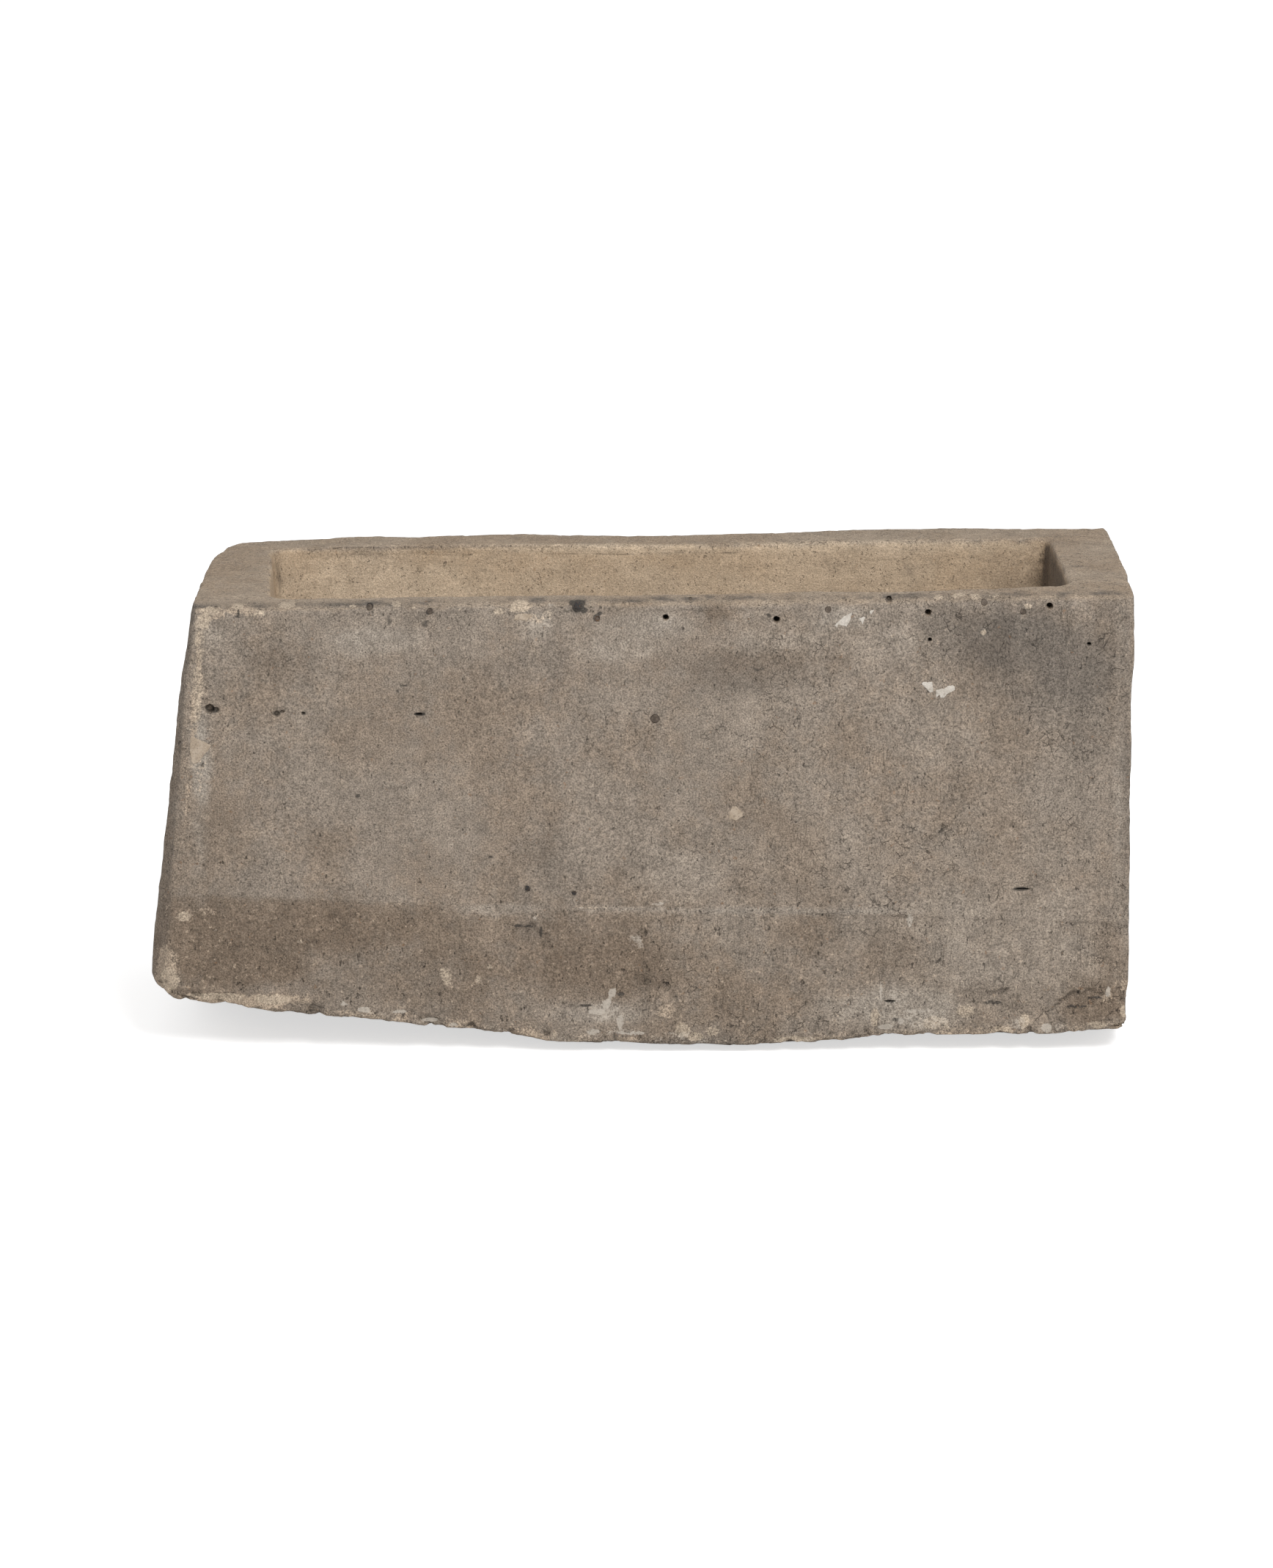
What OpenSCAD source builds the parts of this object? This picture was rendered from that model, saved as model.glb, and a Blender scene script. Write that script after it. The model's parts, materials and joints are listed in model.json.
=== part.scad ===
// Antique trough sink: one hewn block of sandstone, hollowed into a basin, with the
// remains of old fixings in its front face and a plugged waste through its floor.
// X runs along the trough, Y from front to back, Z up. The origin is at floor level
// under the middle of the block.

/* [Block] */
// Length of the block along its foot
block_l = 1122; // [1000:1:1500]
// Depth of the block from front to back
block_d = 450; // [400:1:600]
// Height of the rim above the foot at mid-length
block_h = 530; // [460:1:620]
// Tilt of the rim, rising to the right, in degrees
rim_tilt = 0.79; // [0:0.01:1.2]
// Lean of the left end face, in degrees
left_lean = 7.1; // [0.5:0.1:8]
// Lean of the right end face, in degrees
right_lean = 0.5; // [0.1:0.1:2]
// Height at which the end faces start to lean
lean_start = 88; // [60:1:120]
// Radius of the back left corner
back_left_r = 75; // [20:1:100]
// Radius of the back right corner
back_right_r = 25; // [5:1:60]
// Radius of the front left corner
front_left_r = 16; // [6:1:24]
// Radius of the front right corner
front_right_r = 6; // [3:1:14]
// Radius of the worn front edge of the rim
nose_r = 14; // [6:1:20]
// Radius of the back edge of the rim
rim_back_r = 8; // [2:1:14]

/* [Front face] */
// Width of the narrow face cut along the front left arris, at its foot
arris_w = 18; // [8:1:24]
// Slope of the worn back face under the rim, per millimetre
back_rake = 0.12; // [0.1:0.01:0.2]
// How far the band along the foot stands proud of the face above it
ledge_step = 2.5; // [1:0.5:4]
// Height of the band's top edge at mid-length
ledge_h = 170; // [120:1:220]
// Fall of the foot's rough underside towards the back, per millimetre
foot_rake = 0.2; // [0.15:0.01:0.25]

/* [Basin] */
// Thickness of the front wall at the rim
front_wall = 45; // [35:1:70]
// Thickness of the back wall at the rim
back_wall = 85; // [60:1:110]
// Thickness of the left wall at the rim
left_wall = 74; // [50:1:110]
// Thickness of the right wall at the rim
right_wall = 70; // [50:1:110]
// Thickness of the stone under the basin
floor_t = 150; // [115:1:200]
// How far each end wall comes in between the rim and the floor
end_draft = 20; // [5:1:40]
// How far the front and back walls come in between the rim and the floor
side_draft = 15; // [5:1:30]
// Radius of the basin's upright corners
basin_corner_r = 18; // [8:1:40]
// Radius between the basin's walls and its floor
basin_floor_r = 30; // [10:1:45]

/* [Old fixings] */
// Width of a drilled fixing hole
hole_w = 6.6; // [4:0.2:9]
// Depth of a drilled fixing hole
hole_deep = 30; // [15:1:32]
// Width of a nail hole
nail_hole_w = 3.4; // [2:0.2:5]
// Depth of a nail hole
nail_hole_deep = 15; // [8:1:30]
// Length of a plug left in a hole
hole_plug_l = 20; // [10:1:28]
// Gap between a plug and its hole
hole_plug_gap = 0.05; // [0.02:0.01:0.1]
// How far an iron stub stands out of the face
stub_proud = 1.5; // [0.5:0.5:2]
// Width of a lime flake on the face
flake_w = 22; // [14:1:30]
// Thickness of a lime flake
flake_t = 0.8; // [0.4:0.1:1.5]
// Width of a mortar patch on the face
patch_w = 24; // [14:1:32]
// Thickness of a mortar patch
patch_t = 1; // [0.5:0.1:2]

/* [Waste] */
// Distance of the outlet from the right end
outlet_from_end = 261; // [190:1:450]
// Outer width of the waste's screw thread
thread_w = 47.8; // [44:0.1:50]
// Inner width of the waste tube
tube_bore_w = 38; // [32:0.5:39]
// Outer width of the neck under the flange
neck_w = 53; // [51:0.5:58]
// Height of the neck under the flange
neck_h = 18; // [17:1:24]
// Width of the flange
flange_w = 85; // [78:1:100]
// Thickness of the flange
flange_t = 4; // [3:0.5:6]
// Depth of the dish in the flange
dish_h = 2; // [1:0.5:2.5]
// Width of the dish at the flange's face
dish_w = 70; // [60:1:74]
// Thickness of the seal under the flange
seal_t = 2; // [1:0.5:4]
// Gap between the neck and the hole in the stone
stone_gap = 1; // [0.5:0.1:2]
// Gap around the flange in its rebate
flange_gap = 1.5; // [0.5:0.5:3]
// Width of the pocket under the block
pocket_w = 130; // [112:1:150]
// Height of the pocket under the block
pocket_h = 62; // [58:1:75]
// Width of the rubber washer in the pocket
under_washer_w = 90; // [80:1:100]
// Thickness of the rubber washer
under_washer_t = 4; // [2:0.5:6]
// Width of the slip washer
slip_washer_w = 82; // [74:1:90]
// Thickness of the slip washer
slip_washer_t = 2; // [1:0.5:3]
// Width of the backnut across its flats
nut_w = 64; // [58:1:70]
// Thickness of the backnut
nut_t = 10; // [8:1:14]
// Height of the tail's end above the foot
tail_gap = 12; // [6:1:20]
// Width of the groove between the backnut's thread and the trap's
runout_w = 2; // [1:0.5:4]
// Depth of that groove
runout_h = 0.6; // [0.4:0.1:1]
// Radial clearance of the threads and washers on the tube
thread_fit = 0.1; // [0.05:0.01:0.2]
// Thickness and width of the strainer's bars
bar_w = 5; // [3:0.5:7]

/* [Plug] */
// Width of the plug's seat at its top
seat_top_w = 46; // [44:0.5:47]
// Width of the plug's seat at its bottom
seat_low_w = 41; // [40:0.5:42]
// Height of the plug's seat
seat_h = 14; // [10:1:16]
// Gap between the plug and its seat
plug_gap = 0.3; // [0.2:0.05:0.5]
// How far the plug's face lies below the basin floor
plug_sunk = 1; // [0:0.5:1.5]
// Mean radius of the eye
eye_r = 5; // [4:0.5:7]
// Wire width of the eye
eye_wire = 3.2; // [2:0.2:3.6]
// Width of the eye's collar
collar_w = 12; // [9:1:16]
// Thickness of the eye's collar
collar_t = 1; // [0.8:0.1:2]
// Width of the eye's shank in the plug
shank_w = 4; // [3:0.5:6]
// Length of the eye's shank in the plug
shank_l = 8; // [4:1:9]
// Mean radius of the ring
ring_r = 19; // [18.6:0.1:21]
// Wire width of the ring
ring_wire = 3; // [2:0.2:3.4]
// Gap between the ring and the flange that it lies on
ring_gap = 0.3; // [0.2:0.05:0.5]

/* [Hidden] */
$fn = 64;
// Sides of the circles under a hull
hull_fn = 32;
// How far a cutting shape runs past the surface that it cuts
past = 5;

left_x = -block_l / 2;
right_x = block_l / 2;
front_y = -block_d / 2;
back_y = block_d / 2;
// The front face above the band along the foot
face_y = front_y + ledge_step;
rim_left_x = left_x + (block_h - lean_start) * tan(left_lean);
rim_right_x = right_x - (block_h - lean_start) * tan(right_lean);
// Taller than the block, for shapes that run right through it
tall = 2 * block_h;

// Height of the rim at a place along the trough
function rim_z(x) = block_h + x * tan(rim_tilt);

// Bottom edge of the front face: distance from the nearer end, and height
FOOT_LEFT = [[0, 84], [26, 65], [152, 50], [303, 35], [403, 24], [470, 13]];
FOOT_RIGHT = [[441, 7], [290, 19], [88, 22], [0, 30]];
// Top edge of the band along the foot: distance from the nearer end, and rise
LEDGE = [[-1, 0, 18], [-1, 460, 1], [1, 380, -2], [1, 0, -15]];

// A place along the trough: side -1 or 1, and the distance in from that end
function along(side, in) = side * (block_l / 2 - in);

// Wear of the rim's back edge: end, distance in from it, and how far the edge is worn in
BACK_WORN = [
  [-1, -20, 34], [-1, 61, 34], [-1, 106, 26], [-1, 146, 14], [-1, 187, 10], [-1, 239, 1],
  [-1, 293, 19], [-1, 346, 10], [-1, 398, 2], [-1, 441, 6], [-1, 557, 24],
  [1, 511, 19], [1, 459, 12], [1, 353, 16], [1, 273, 1], [1, 221, 2], [1, 167, 5],
  [1, 36, 19], [1, -20, 24]
];

// Open drilled holes: end, distance in from it, distance below the rim
OPEN_HOLES = [[1, 531, 22.5], [1, 406, 26], [1, 279, 7], [1, 235, 20.5], [1, 98, 15.5]];
// Nail holes, in the same form
NAIL_HOLES = [[1, 503, 5], [1, 233, 51], [1, 53, 59], [-1, 181, 127.5]];
// Wide worn holes: end, distance in, distance below the rim, width, depth
WIDE_HOLES = [[-1, 74, 120, 12, 20], [-1, 151, 126.5, 8, 8]];
// Plugged holes: end, distance in, distance below the rim, width, depth of the plug's face
PLUGGED = [
  [-1, 257, 7, hole_w, 3], [-1, 325, 12, hole_w, 0.4], [-1, 514, 22.5, 4.4, 1.5],
  [1, 348, 16, hole_w, 0.6], [1, 172, 10.5, hole_w, 0.3], [1, 128, 21, hole_w, 0.3],
  [1, 543, 138.5, 10, 0.6]
];
// Iron stubs: end, distance in, height above the foot, width
STUBS = [
  [-1, 492, block_h - 9, 7], [-1, 434, ledge_h + 23, 5], [-1, 487, ledge_h + 18, 5]
];
STUB_L = 25;
// Lime flakes and mortar patches: end, distance in, height above the foot, and the
// outline about that place in widths of a flake or a patch
FLAKES = [
  [1, 235, block_h - 102,
    [[-0.34, 0.2], [-0.25, 0.29], [0.24, 0.29], [0.3, -0.02], [0.31, -0.21], [0.14, -0.29]]],
  [1, 215, block_h - 107,
    [[-0.5, 0.12], [-0.07, 0.17], [0.13, 0.33], [0.38, 0.35], [0.5, 0.27], [0.49, 0.08],
      [0.16, -0.09], [-0.08, -0.33], [-0.23, -0.32], [-0.31, -0.17], [-0.45, -0.34]]],
  [1, 331, block_h - 24,
    [[-0.48, -0.29], [-0.32, -0.42], [-0.24, -0.27], [0.19, -0.38], [0.32, -0.13],
      [0.44, 0.27], [0.45, 0.4], [0.05, 0.19], [-0.2, -0.04]]],
  [1, 310, block_h - 25, [[-0.15, 0.13], [0.08, 0.21], [0.19, 0.17], [0.04, -0.23]]],
  [1, 298, block_h - 15, [[-0.16, -0.1], [-0.14, 0.05], [0.12, 0.15], [-0.02, -0.1]]]
];
PATCHES = [
  [-1, 430, block_h - 22,
    [[-0.49, -0.1], [-0.37, 0.13], [-0.19, 0.21], [0.26, 0.2], [0.51, 0.07], [0.34, 0.04],
      [0.15, -0.19], [0.08, -0.12]]],
  [-1, 64, block_h - 174,
    [[-0.47, 0.7], [-0.02, 0.47], [0.52, 0.22], [0.39, 0.01], [0.04, -0.42],
      [-0.16, -0.65], [-0.42, -0.69], [-0.52, -0.11]]],
  [1, 451, block_h - 248,
    [[-0.29, 0.13], [-0.18, 0.36], [0.01, 0.36], [0.32, 0.01], [0.36, -0.15],
      [0.02, -0.34], [-0.36, -0.26]]]
];

// The basin's opening and floor
open_left_x = rim_left_x + left_wall;
open_right_x = rim_right_x - right_wall;
open_front_y = front_y + front_wall;
open_back_y = back_y - back_wall;
basin_floor_z = floor_t;

// The waste stands in line with the middle of the basin
outlet_x = right_x - outlet_from_end;
outlet_y = (open_front_y + open_back_y) / 2;
thread_r = thread_w / 2;
tube_bore_r = tube_bore_w / 2;
neck_r = neck_w / 2;
flange_r = flange_w / 2;
stone_bore_r = neck_r + stone_gap;
rebate_r = flange_r + flange_gap;
flange_low_z = basin_floor_z - flange_t;
rebate_z = flange_low_z - seal_t;
washer_z = pocket_h - under_washer_t;
slip_z = washer_z - slip_washer_t;
nut_z = slip_z - nut_t;
seat_top_z = basin_floor_z - dish_h;
seat_low_z = seat_top_z - seat_h;
// The strainer lies one bar's width below the seat
strainer_z = seat_low_z - 2 * bar_w;
tail_chamfer = 1;

// The plug fills the seat, less its gap, and stands a little clear of the seat's foot
function seat_r(z) = seat_low_w / 2
  + (seat_top_w - seat_low_w) / 2 * (z - seat_low_z) / seat_h;
plug_top_z = basin_floor_z - plug_sunk;
plug_low_z = seat_low_z + plug_gap;
plug_top_r = seat_r(seat_top_z) - plug_gap;
plug_edge = 0.8;
eye_wire_r = eye_wire / 2;
// The eye is sunk a third of its wire into its collar
eye_z = plug_top_z + collar_t + eye_r + eye_wire_r - eye_wire / 3;
ring_wire_r = ring_wire / 2;
// The ring leans down from the eye to the flange
ring_lean = asin((eye_z - basin_floor_z - ring_gap - ring_wire_r) / (2 * ring_r));

STONE = "#8a8175";
BRASS = "#a9854a";
RUBBER = "#2b2a28";

// What a round of radius r takes off a corner that points to -X and -Y
module corner_waste(r) {
  difference() {
    translate([-past, -past]) square(r + past);
    translate([r, r]) circle(r);
  }
}

// The block before its hollow: leaning ends, a tilted rim and rounded edges
module blank() {
  end_rise = block_h - lean_start;
  top_z = tall;
  difference() {
    intersection() {
      translate([0, back_y, 0]) rotate([90, 0, 0]) linear_extrude(height = block_d)
        polygon([
          [left_x, 0], [right_x, 0], [right_x, lean_start],
          [right_x - (top_z - lean_start) * tan(right_lean), top_z],
          [left_x + (top_z - lean_start) * tan(left_lean), top_z], [left_x, lean_start]
        ]);
      rotate([0, -rim_tilt, 0]) translate([-block_l, 0, 0]) rotate([90, 0, 90])
        linear_extrude(height = 2 * block_l) rim_profile();
    }
    translate([left_x, back_y, lean_start]) rotate([0, left_lean, 0])
      translate([0, 0, -tall]) mirror([0, 1, 0])
        linear_extrude(height = 2 * tall) corner_waste(back_left_r);
    translate([left_x, front_y, lean_start]) rotate([0, left_lean, 0])
      translate([0, 0, -tall]) linear_extrude(height = 2 * tall) corner_waste(front_left_r);
    translate([right_x, back_y, -past]) rotate(180)
      linear_extrude(height = tall) corner_waste(back_right_r);
    translate([right_x, front_y, -past]) rotate(90)
      linear_extrude(height = tall) corner_waste(front_right_r);
  }
}

// Front to back section of the block, with the rim's two long edges rounded
module rim_profile() {
  difference() {
    translate([front_y - past, -tall]) square([block_d + 2 * past, tall + block_h]);
    translate([face_y, block_h]) mirror([0, 1]) corner_waste(nose_r);
    translate([back_y, block_h]) rotate(180) corner_waste(rim_back_r);
  }
}

// The stone taken off the front face above the band along the foot
module face_recess() {
  top = [for (p = LEDGE) [along(p[0], p[1]) + p[0] * (p[1] == 0 ? past : 0), ledge_h + p[2]]];
  translate([0, face_y, 0]) rotate([90, 0, 0]) linear_extrude(height = ledge_step + past)
    polygon(concat(top, [[right_x + past, tall], [left_x - past, tall]]));
}

// Faces of a long wedge with a triangle at each of its n stations
function wedge_faces(n) = concat(
  [[0, 1, 2]],
  [for (i = [0 : n - 2]) each [
    [3 * i, 3 * i + 3, 3 * i + 4, 3 * i + 1],
    [3 * i + 1, 3 * i + 4, 3 * i + 5, 3 * i + 2],
    [3 * i + 2, 3 * i + 5, 3 * i + 3, 3 * i]
  ]],
  [[3 * n - 1, 3 * n - 2, 3 * n - 3]]
);

// The stone missing under the front edge: a wedge that is deepest at the left end
module foot_waste() {
  line = concat(
    [[left_x - past, FOOT_LEFT[0][1]]],
    [for (p = FOOT_LEFT) [along(-1, p[0]), p[1]]],
    [for (p = FOOT_RIGHT) [along(1, p[0]), p[1]]],
    [[right_x + past, FOOT_RIGHT[len(FOOT_RIGHT) - 1][1]]]
  );
  n = len(line);
  // Each station is a triangle: front top, front bottom and the wedge's thin back edge
  points = [for (p = line) each [
    [p[0], front_y - past, p[1] + past * foot_rake],
    [p[0], front_y - past, -past],
    [p[0], front_y + (p[1] + past) / foot_rake, -past]
  ]];
  polyhedron(points, wedge_faces(n));
}

// The stone worn off the back under the rim: deepest at the rim, and thinning to nothing
// at the same slope all along
module back_waste() {
  n = len(BACK_WORN);
  above = 4 * past;
  // Each station is a triangle: its lowest point, and the two ends of its top
  points = [for (p = BACK_WORN) let (x = along(p[0], p[1]), top = rim_z(x)) each [
    [x, back_y + past, top - (p[2] + past) / back_rake],
    [x, back_y + past, top + above],
    [x, back_y - p[2] - above * back_rake, top + above]
  ]];
  polyhedron(points, wedge_faces(n));
}

// Plan of the cut along the front left arris, from the arris itself
module arris_plan(w) {
  polygon([[-past, -past], [w + 0.8 * past, -past], [-past, 1.25 * w + past]]);
}

// The narrow face cut along the front left arris, running out at the rim
module arris_waste() {
  slice = 0.1;
  top_in = (block_h - lean_start) * tan(left_lean);
  hull() {
    translate([left_x, face_y, lean_start]) linear_extrude(height = slice) arris_plan(arris_w);
    translate([left_x + top_in, face_y, block_h]) linear_extrude(height = slice)
      arris_plan(arris_w / 5);
  }
  translate([left_x, face_y, -past]) linear_extrude(height = lean_start + past + slice)
    arris_plan(arris_w);
}

// The hollow of the basin, running up past the rim
module basin_hollow() {
  rise = rim_z(right_x) - basin_floor_z;
  // Draft carried on above the rim, so that the walls meet the rim at full width
  mouth = [
    [open_left_x, open_front_y], [open_right_x, open_front_y],
    [open_right_x, open_back_y], [open_left_x, open_back_y]
  ];
  inward = [[1, 1], [-1, 1], [-1, -1], [1, -1]];
  hull() for (i = [0 : 3]) {
    translate([
      mouth[i][0] + inward[i][0] * basin_corner_r,
      mouth[i][1] + inward[i][1] * basin_corner_r, basin_floor_z + rise
    ]) cylinder(r = basin_corner_r, h = past, $fn = hull_fn);
    translate([
      mouth[i][0] + inward[i][0] * (end_draft + basin_floor_r),
      mouth[i][1] + inward[i][1] * (side_draft + basin_floor_r), basin_floor_z + basin_floor_r
    ]) sphere(r = basin_floor_r, $fn = hull_fn);
  }
}

// A hole bored into the front face, with its mouth at a height above the foot
module face_hole(x, z, w, deep) {
  translate([x, front_y - past, z]) rotate([-90, 0, 0])
    cylinder(d = w, h = deep + ledge_step + past);
}

module trough_block() {
  color(STONE) difference() {
    blank();
    face_recess();
    foot_waste();
    back_waste();
    arris_waste();
    basin_hollow();
    for (h = OPEN_HOLES) {
      x = along(h[0], h[1]);
      face_hole(x, rim_z(x) - h[2], hole_w, hole_deep);
    }
    for (h = NAIL_HOLES) {
      x = along(h[0], h[1]);
      face_hole(x, rim_z(x) - h[2], nail_hole_w, nail_hole_deep);
    }
    for (h = WIDE_HOLES) {
      x = along(h[0], h[1]);
      face_hole(x, rim_z(x) - h[2], h[3], h[4]);
    }
    for (h = PLUGGED) {
      x = along(h[0], h[1]);
      face_hole(x, rim_z(x) - h[2], h[3], h[4] + hole_plug_l);
    }
    for (s = STUBS) face_hole(along(s[0], s[1]), s[2], s[3], STUB_L);
    translate([outlet_x, outlet_y, -past]) cylinder(d = pocket_w, h = pocket_h + past);
    translate([outlet_x, outlet_y, 0]) cylinder(r = stone_bore_r, h = basin_floor_z + past);
    translate([outlet_x, outlet_y, rebate_z]) cylinder(r = rebate_r, h = basin_floor_z);
  }
}

// Mortar and timber left in old fixing holes
module hole_plugs() {
  color("#6f675c") for (h = PLUGGED) {
    x = along(h[0], h[1]);
    translate([x, face_y + h[4], rim_z(x) - h[2]]) rotate([-90, 0, 0])
      cylinder(d = h[3] - 2 * hole_plug_gap, h = hole_plug_l);
  }
}

// Stubs of iron pins, rusted off at the face
module iron_stubs() {
  color("#2e2420") for (s = STUBS)
    translate([along(s[0], s[1]), face_y - stub_proud, s[2]]) rotate([-90, 0, 0])
      cylinder(d = s[3] - 2 * hole_plug_gap, h = STUB_L + stub_proud);
}

// Thin irregular pieces that stick to the front face
module face_pieces(list, wide, thick) {
  for (p = list) translate([along(p[0], p[1]), face_y, p[2]]) rotate([90, 0, 0])
    linear_extrude(height = thick) polygon(wide * p[3]);
}

module lime_flakes() {
  color("#e4dfd2") face_pieces(FLAKES, flake_w, flake_t);
}

module mortar_patches() {
  color("#a8977b") face_pieces(PATCHES, patch_w, patch_t);
}

// Flanged and threaded waste with its strainer, cast in one
module waste_body() {
  color(BRASS) translate([outlet_x, outlet_y, 0]) {
    rotate_extrude() polygon([
      [tube_bore_r, tail_gap], [thread_r - tail_chamfer, tail_gap],
      [thread_r, tail_gap + tail_chamfer], [thread_r, nut_z - runout_w],
      [thread_r - runout_h, nut_z - runout_w], [thread_r - runout_h, nut_z],
      [thread_r, nut_z], [thread_r, flange_low_z - neck_h],
      [neck_r, flange_low_z - neck_h + (neck_r - thread_r)], [neck_r, flange_low_z],
      [flange_r, flange_low_z], [flange_r, basin_floor_z - flange_t / 4],
      [flange_r - flange_t / 4, basin_floor_z], [dish_w / 2, basin_floor_z],
      [seat_top_w / 2, seat_top_z], [seat_low_w / 2, seat_low_z], [tube_bore_r, seat_low_z]
    ]);
    for (turn = [0, 90]) rotate(turn)
      translate([-tube_bore_r - thread_fit, -bar_w / 2, strainer_z])
        cube([2 * (tube_bore_r + thread_fit), bar_w, bar_w]);
  }
}

// A flat ring on the tube's axis
module flat_ring(bore_r, outer_r, low_z, thick) {
  translate([outlet_x, outlet_y, low_z]) difference() {
    cylinder(r = outer_r, h = thick);
    translate([0, 0, -past]) cylinder(r = bore_r, h = thick + 2 * past);
  }
}

module flange_seal() {
  color(RUBBER) flat_ring(neck_r + thread_fit, flange_r, rebate_z, seal_t);
}

module under_washer() {
  color(RUBBER) flat_ring(thread_r + thread_fit, under_washer_w / 2, washer_z, under_washer_t);
}

module slip_washer() {
  color("#d8d4c8") flat_ring(thread_r + thread_fit, slip_washer_w / 2, slip_z, slip_washer_t);
}

module backnut() {
  color(BRASS) translate([outlet_x, outlet_y, nut_z]) difference() {
    cylinder(d = nut_w / cos(30), h = nut_t, $fn = 6);
    translate([0, 0, -past]) cylinder(r = thread_r + thread_fit, h = nut_t + 2 * past);
  }
}

// Tapered rubber plug, bored for the shank of its eye
module waste_plug() {
  color(RUBBER) translate([outlet_x, outlet_y, 0]) difference() {
    rotate_extrude() polygon([
      [0, plug_low_z], [seat_r(plug_low_z) - plug_gap, plug_low_z],
      [plug_top_r, seat_top_z], [plug_top_r, plug_top_z - plug_edge],
      [plug_top_r - plug_edge, plug_top_z], [0, plug_top_z]
    ]);
    translate([0, 0, plug_top_z - shank_l])
      cylinder(d = shank_w + 2 * hole_plug_gap, h = shank_l + past);
  }
}

// Wire eye on a collar, with a shank that holds it in the plug
module plug_eye() {
  color(BRASS) translate([outlet_x, outlet_y, 0]) {
    translate([0, 0, eye_z]) rotate([90, 0, 0]) rotate_extrude()
      translate([eye_r, 0]) circle(eye_wire_r);
    translate([0, 0, plug_top_z]) cylinder(d = collar_w, h = collar_t);
    translate([0, 0, plug_top_z - shank_l]) cylinder(d = shank_w, h = shank_l + collar_t / 2);
  }
}

// Split ring through the eye, lying over on the flange
module plug_ring() {
  color(BRASS) translate([outlet_x, outlet_y, eye_z]) rotate([0, ring_lean, 0])
    translate([ring_r, 0, 0]) rotate_extrude() translate([ring_r, 0]) circle(ring_wire_r);
}

trough_block();
hole_plugs();
iron_stubs();
lime_flakes();
mortar_patches();
waste_body();
flange_seal();
under_washer();
slip_washer();
backnut();
waste_plug();
plug_eye();
plug_ring();
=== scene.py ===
"""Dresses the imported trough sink: a hewn stone block, its old fixings, and its waste and plug."""

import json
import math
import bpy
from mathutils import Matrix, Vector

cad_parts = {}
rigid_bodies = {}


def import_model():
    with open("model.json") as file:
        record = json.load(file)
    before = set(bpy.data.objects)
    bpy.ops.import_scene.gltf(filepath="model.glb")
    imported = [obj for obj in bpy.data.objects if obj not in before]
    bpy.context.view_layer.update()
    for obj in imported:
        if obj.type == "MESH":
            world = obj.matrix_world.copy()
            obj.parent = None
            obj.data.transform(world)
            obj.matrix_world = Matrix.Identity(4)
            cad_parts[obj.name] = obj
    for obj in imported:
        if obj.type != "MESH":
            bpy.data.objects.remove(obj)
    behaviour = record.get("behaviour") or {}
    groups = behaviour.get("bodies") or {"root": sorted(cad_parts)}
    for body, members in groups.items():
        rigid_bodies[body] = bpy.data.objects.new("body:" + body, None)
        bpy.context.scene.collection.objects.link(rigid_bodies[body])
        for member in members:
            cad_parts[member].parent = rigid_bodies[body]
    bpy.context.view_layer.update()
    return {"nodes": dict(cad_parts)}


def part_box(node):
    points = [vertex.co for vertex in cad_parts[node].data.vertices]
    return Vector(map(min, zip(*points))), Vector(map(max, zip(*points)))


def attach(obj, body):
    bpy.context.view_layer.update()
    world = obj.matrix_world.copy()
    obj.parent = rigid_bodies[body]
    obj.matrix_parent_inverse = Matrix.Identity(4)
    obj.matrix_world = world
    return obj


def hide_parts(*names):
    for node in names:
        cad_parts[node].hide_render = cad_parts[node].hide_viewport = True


bl_info = {
    "name": "Trough sink",
    "version": (1, 0, 0),
    "blender": (4, 5, 0),
    "location": "3D View > Sidebar > Trough sink",
    "description": "Models a worn stone trough sink with old fixings, a brass waste and a plug",
    "category": "Object",
}

import bmesh
import bpy
import numpy as np
from mathutils import Matrix, Vector
from mathutils.bvhtree import BVHTree
from mathutils.kdtree import KDTree

for leftover in list(bpy.data.objects):
    bpy.data.objects.remove(leftover)

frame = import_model()

MM = 0.001
X_AXIS = Vector((1, 0, 0))
Y_AXIS = Vector((0, 1, 0))
Z_AXIS = Vector((0, 0, 1))
# Columns of an array of places
ALONG, BACKWARD, UP = 0, 1, 2
QUARTER_TURN = math.radians(90)

# The block, in millimetres, as its source gives it
LEFT_X, RIGHT_X = -561.0, 561.0
FRONT_Y, FACE_Y = -225.0, -222.5
RIM_Z = 530.0
RIM_SLOPE = 0.01379
LEAN_FOOT_Z = 88.0
LEFT_LEAN = 0.12456
OPEN_X = (-432.0, 487.0)
OPEN_Y = (-180.0, 140.0)
FLOOR_Z = 150.0
OUTLET = (300.0, -20.0)
# Height of the band along the foot, and of the front face's bottom edge
LEDGE = ((-561, 188), (-101, 171), (181, 168), (561, 155))
FOOT = (
    (-561, 84), (-535, 65), (-409, 50), (-258, 35), (-158, 24), (-91, 13),
    (120, 7), (271, 19), (473, 22), (561, 30),
)
# How far the basin's edges at the rim are shifted
INNER_BACK = (
    (-434, 3), (-324, 12), (-147, 6), (0, -5), (170, -8), (290, -7), (377, -5), (488, -1),
)
INNER_FRONT = (
    (-432, 12), (-400, 6), (-320, -3), (-240, 0), (-140, -4), (-25, -2), (162, -1), (276, -5),
    (368, 0), (430, 6), (466, 15), (488, 20),
)
INNER_LEFT = ((-180, 12), (140, -4))
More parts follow.
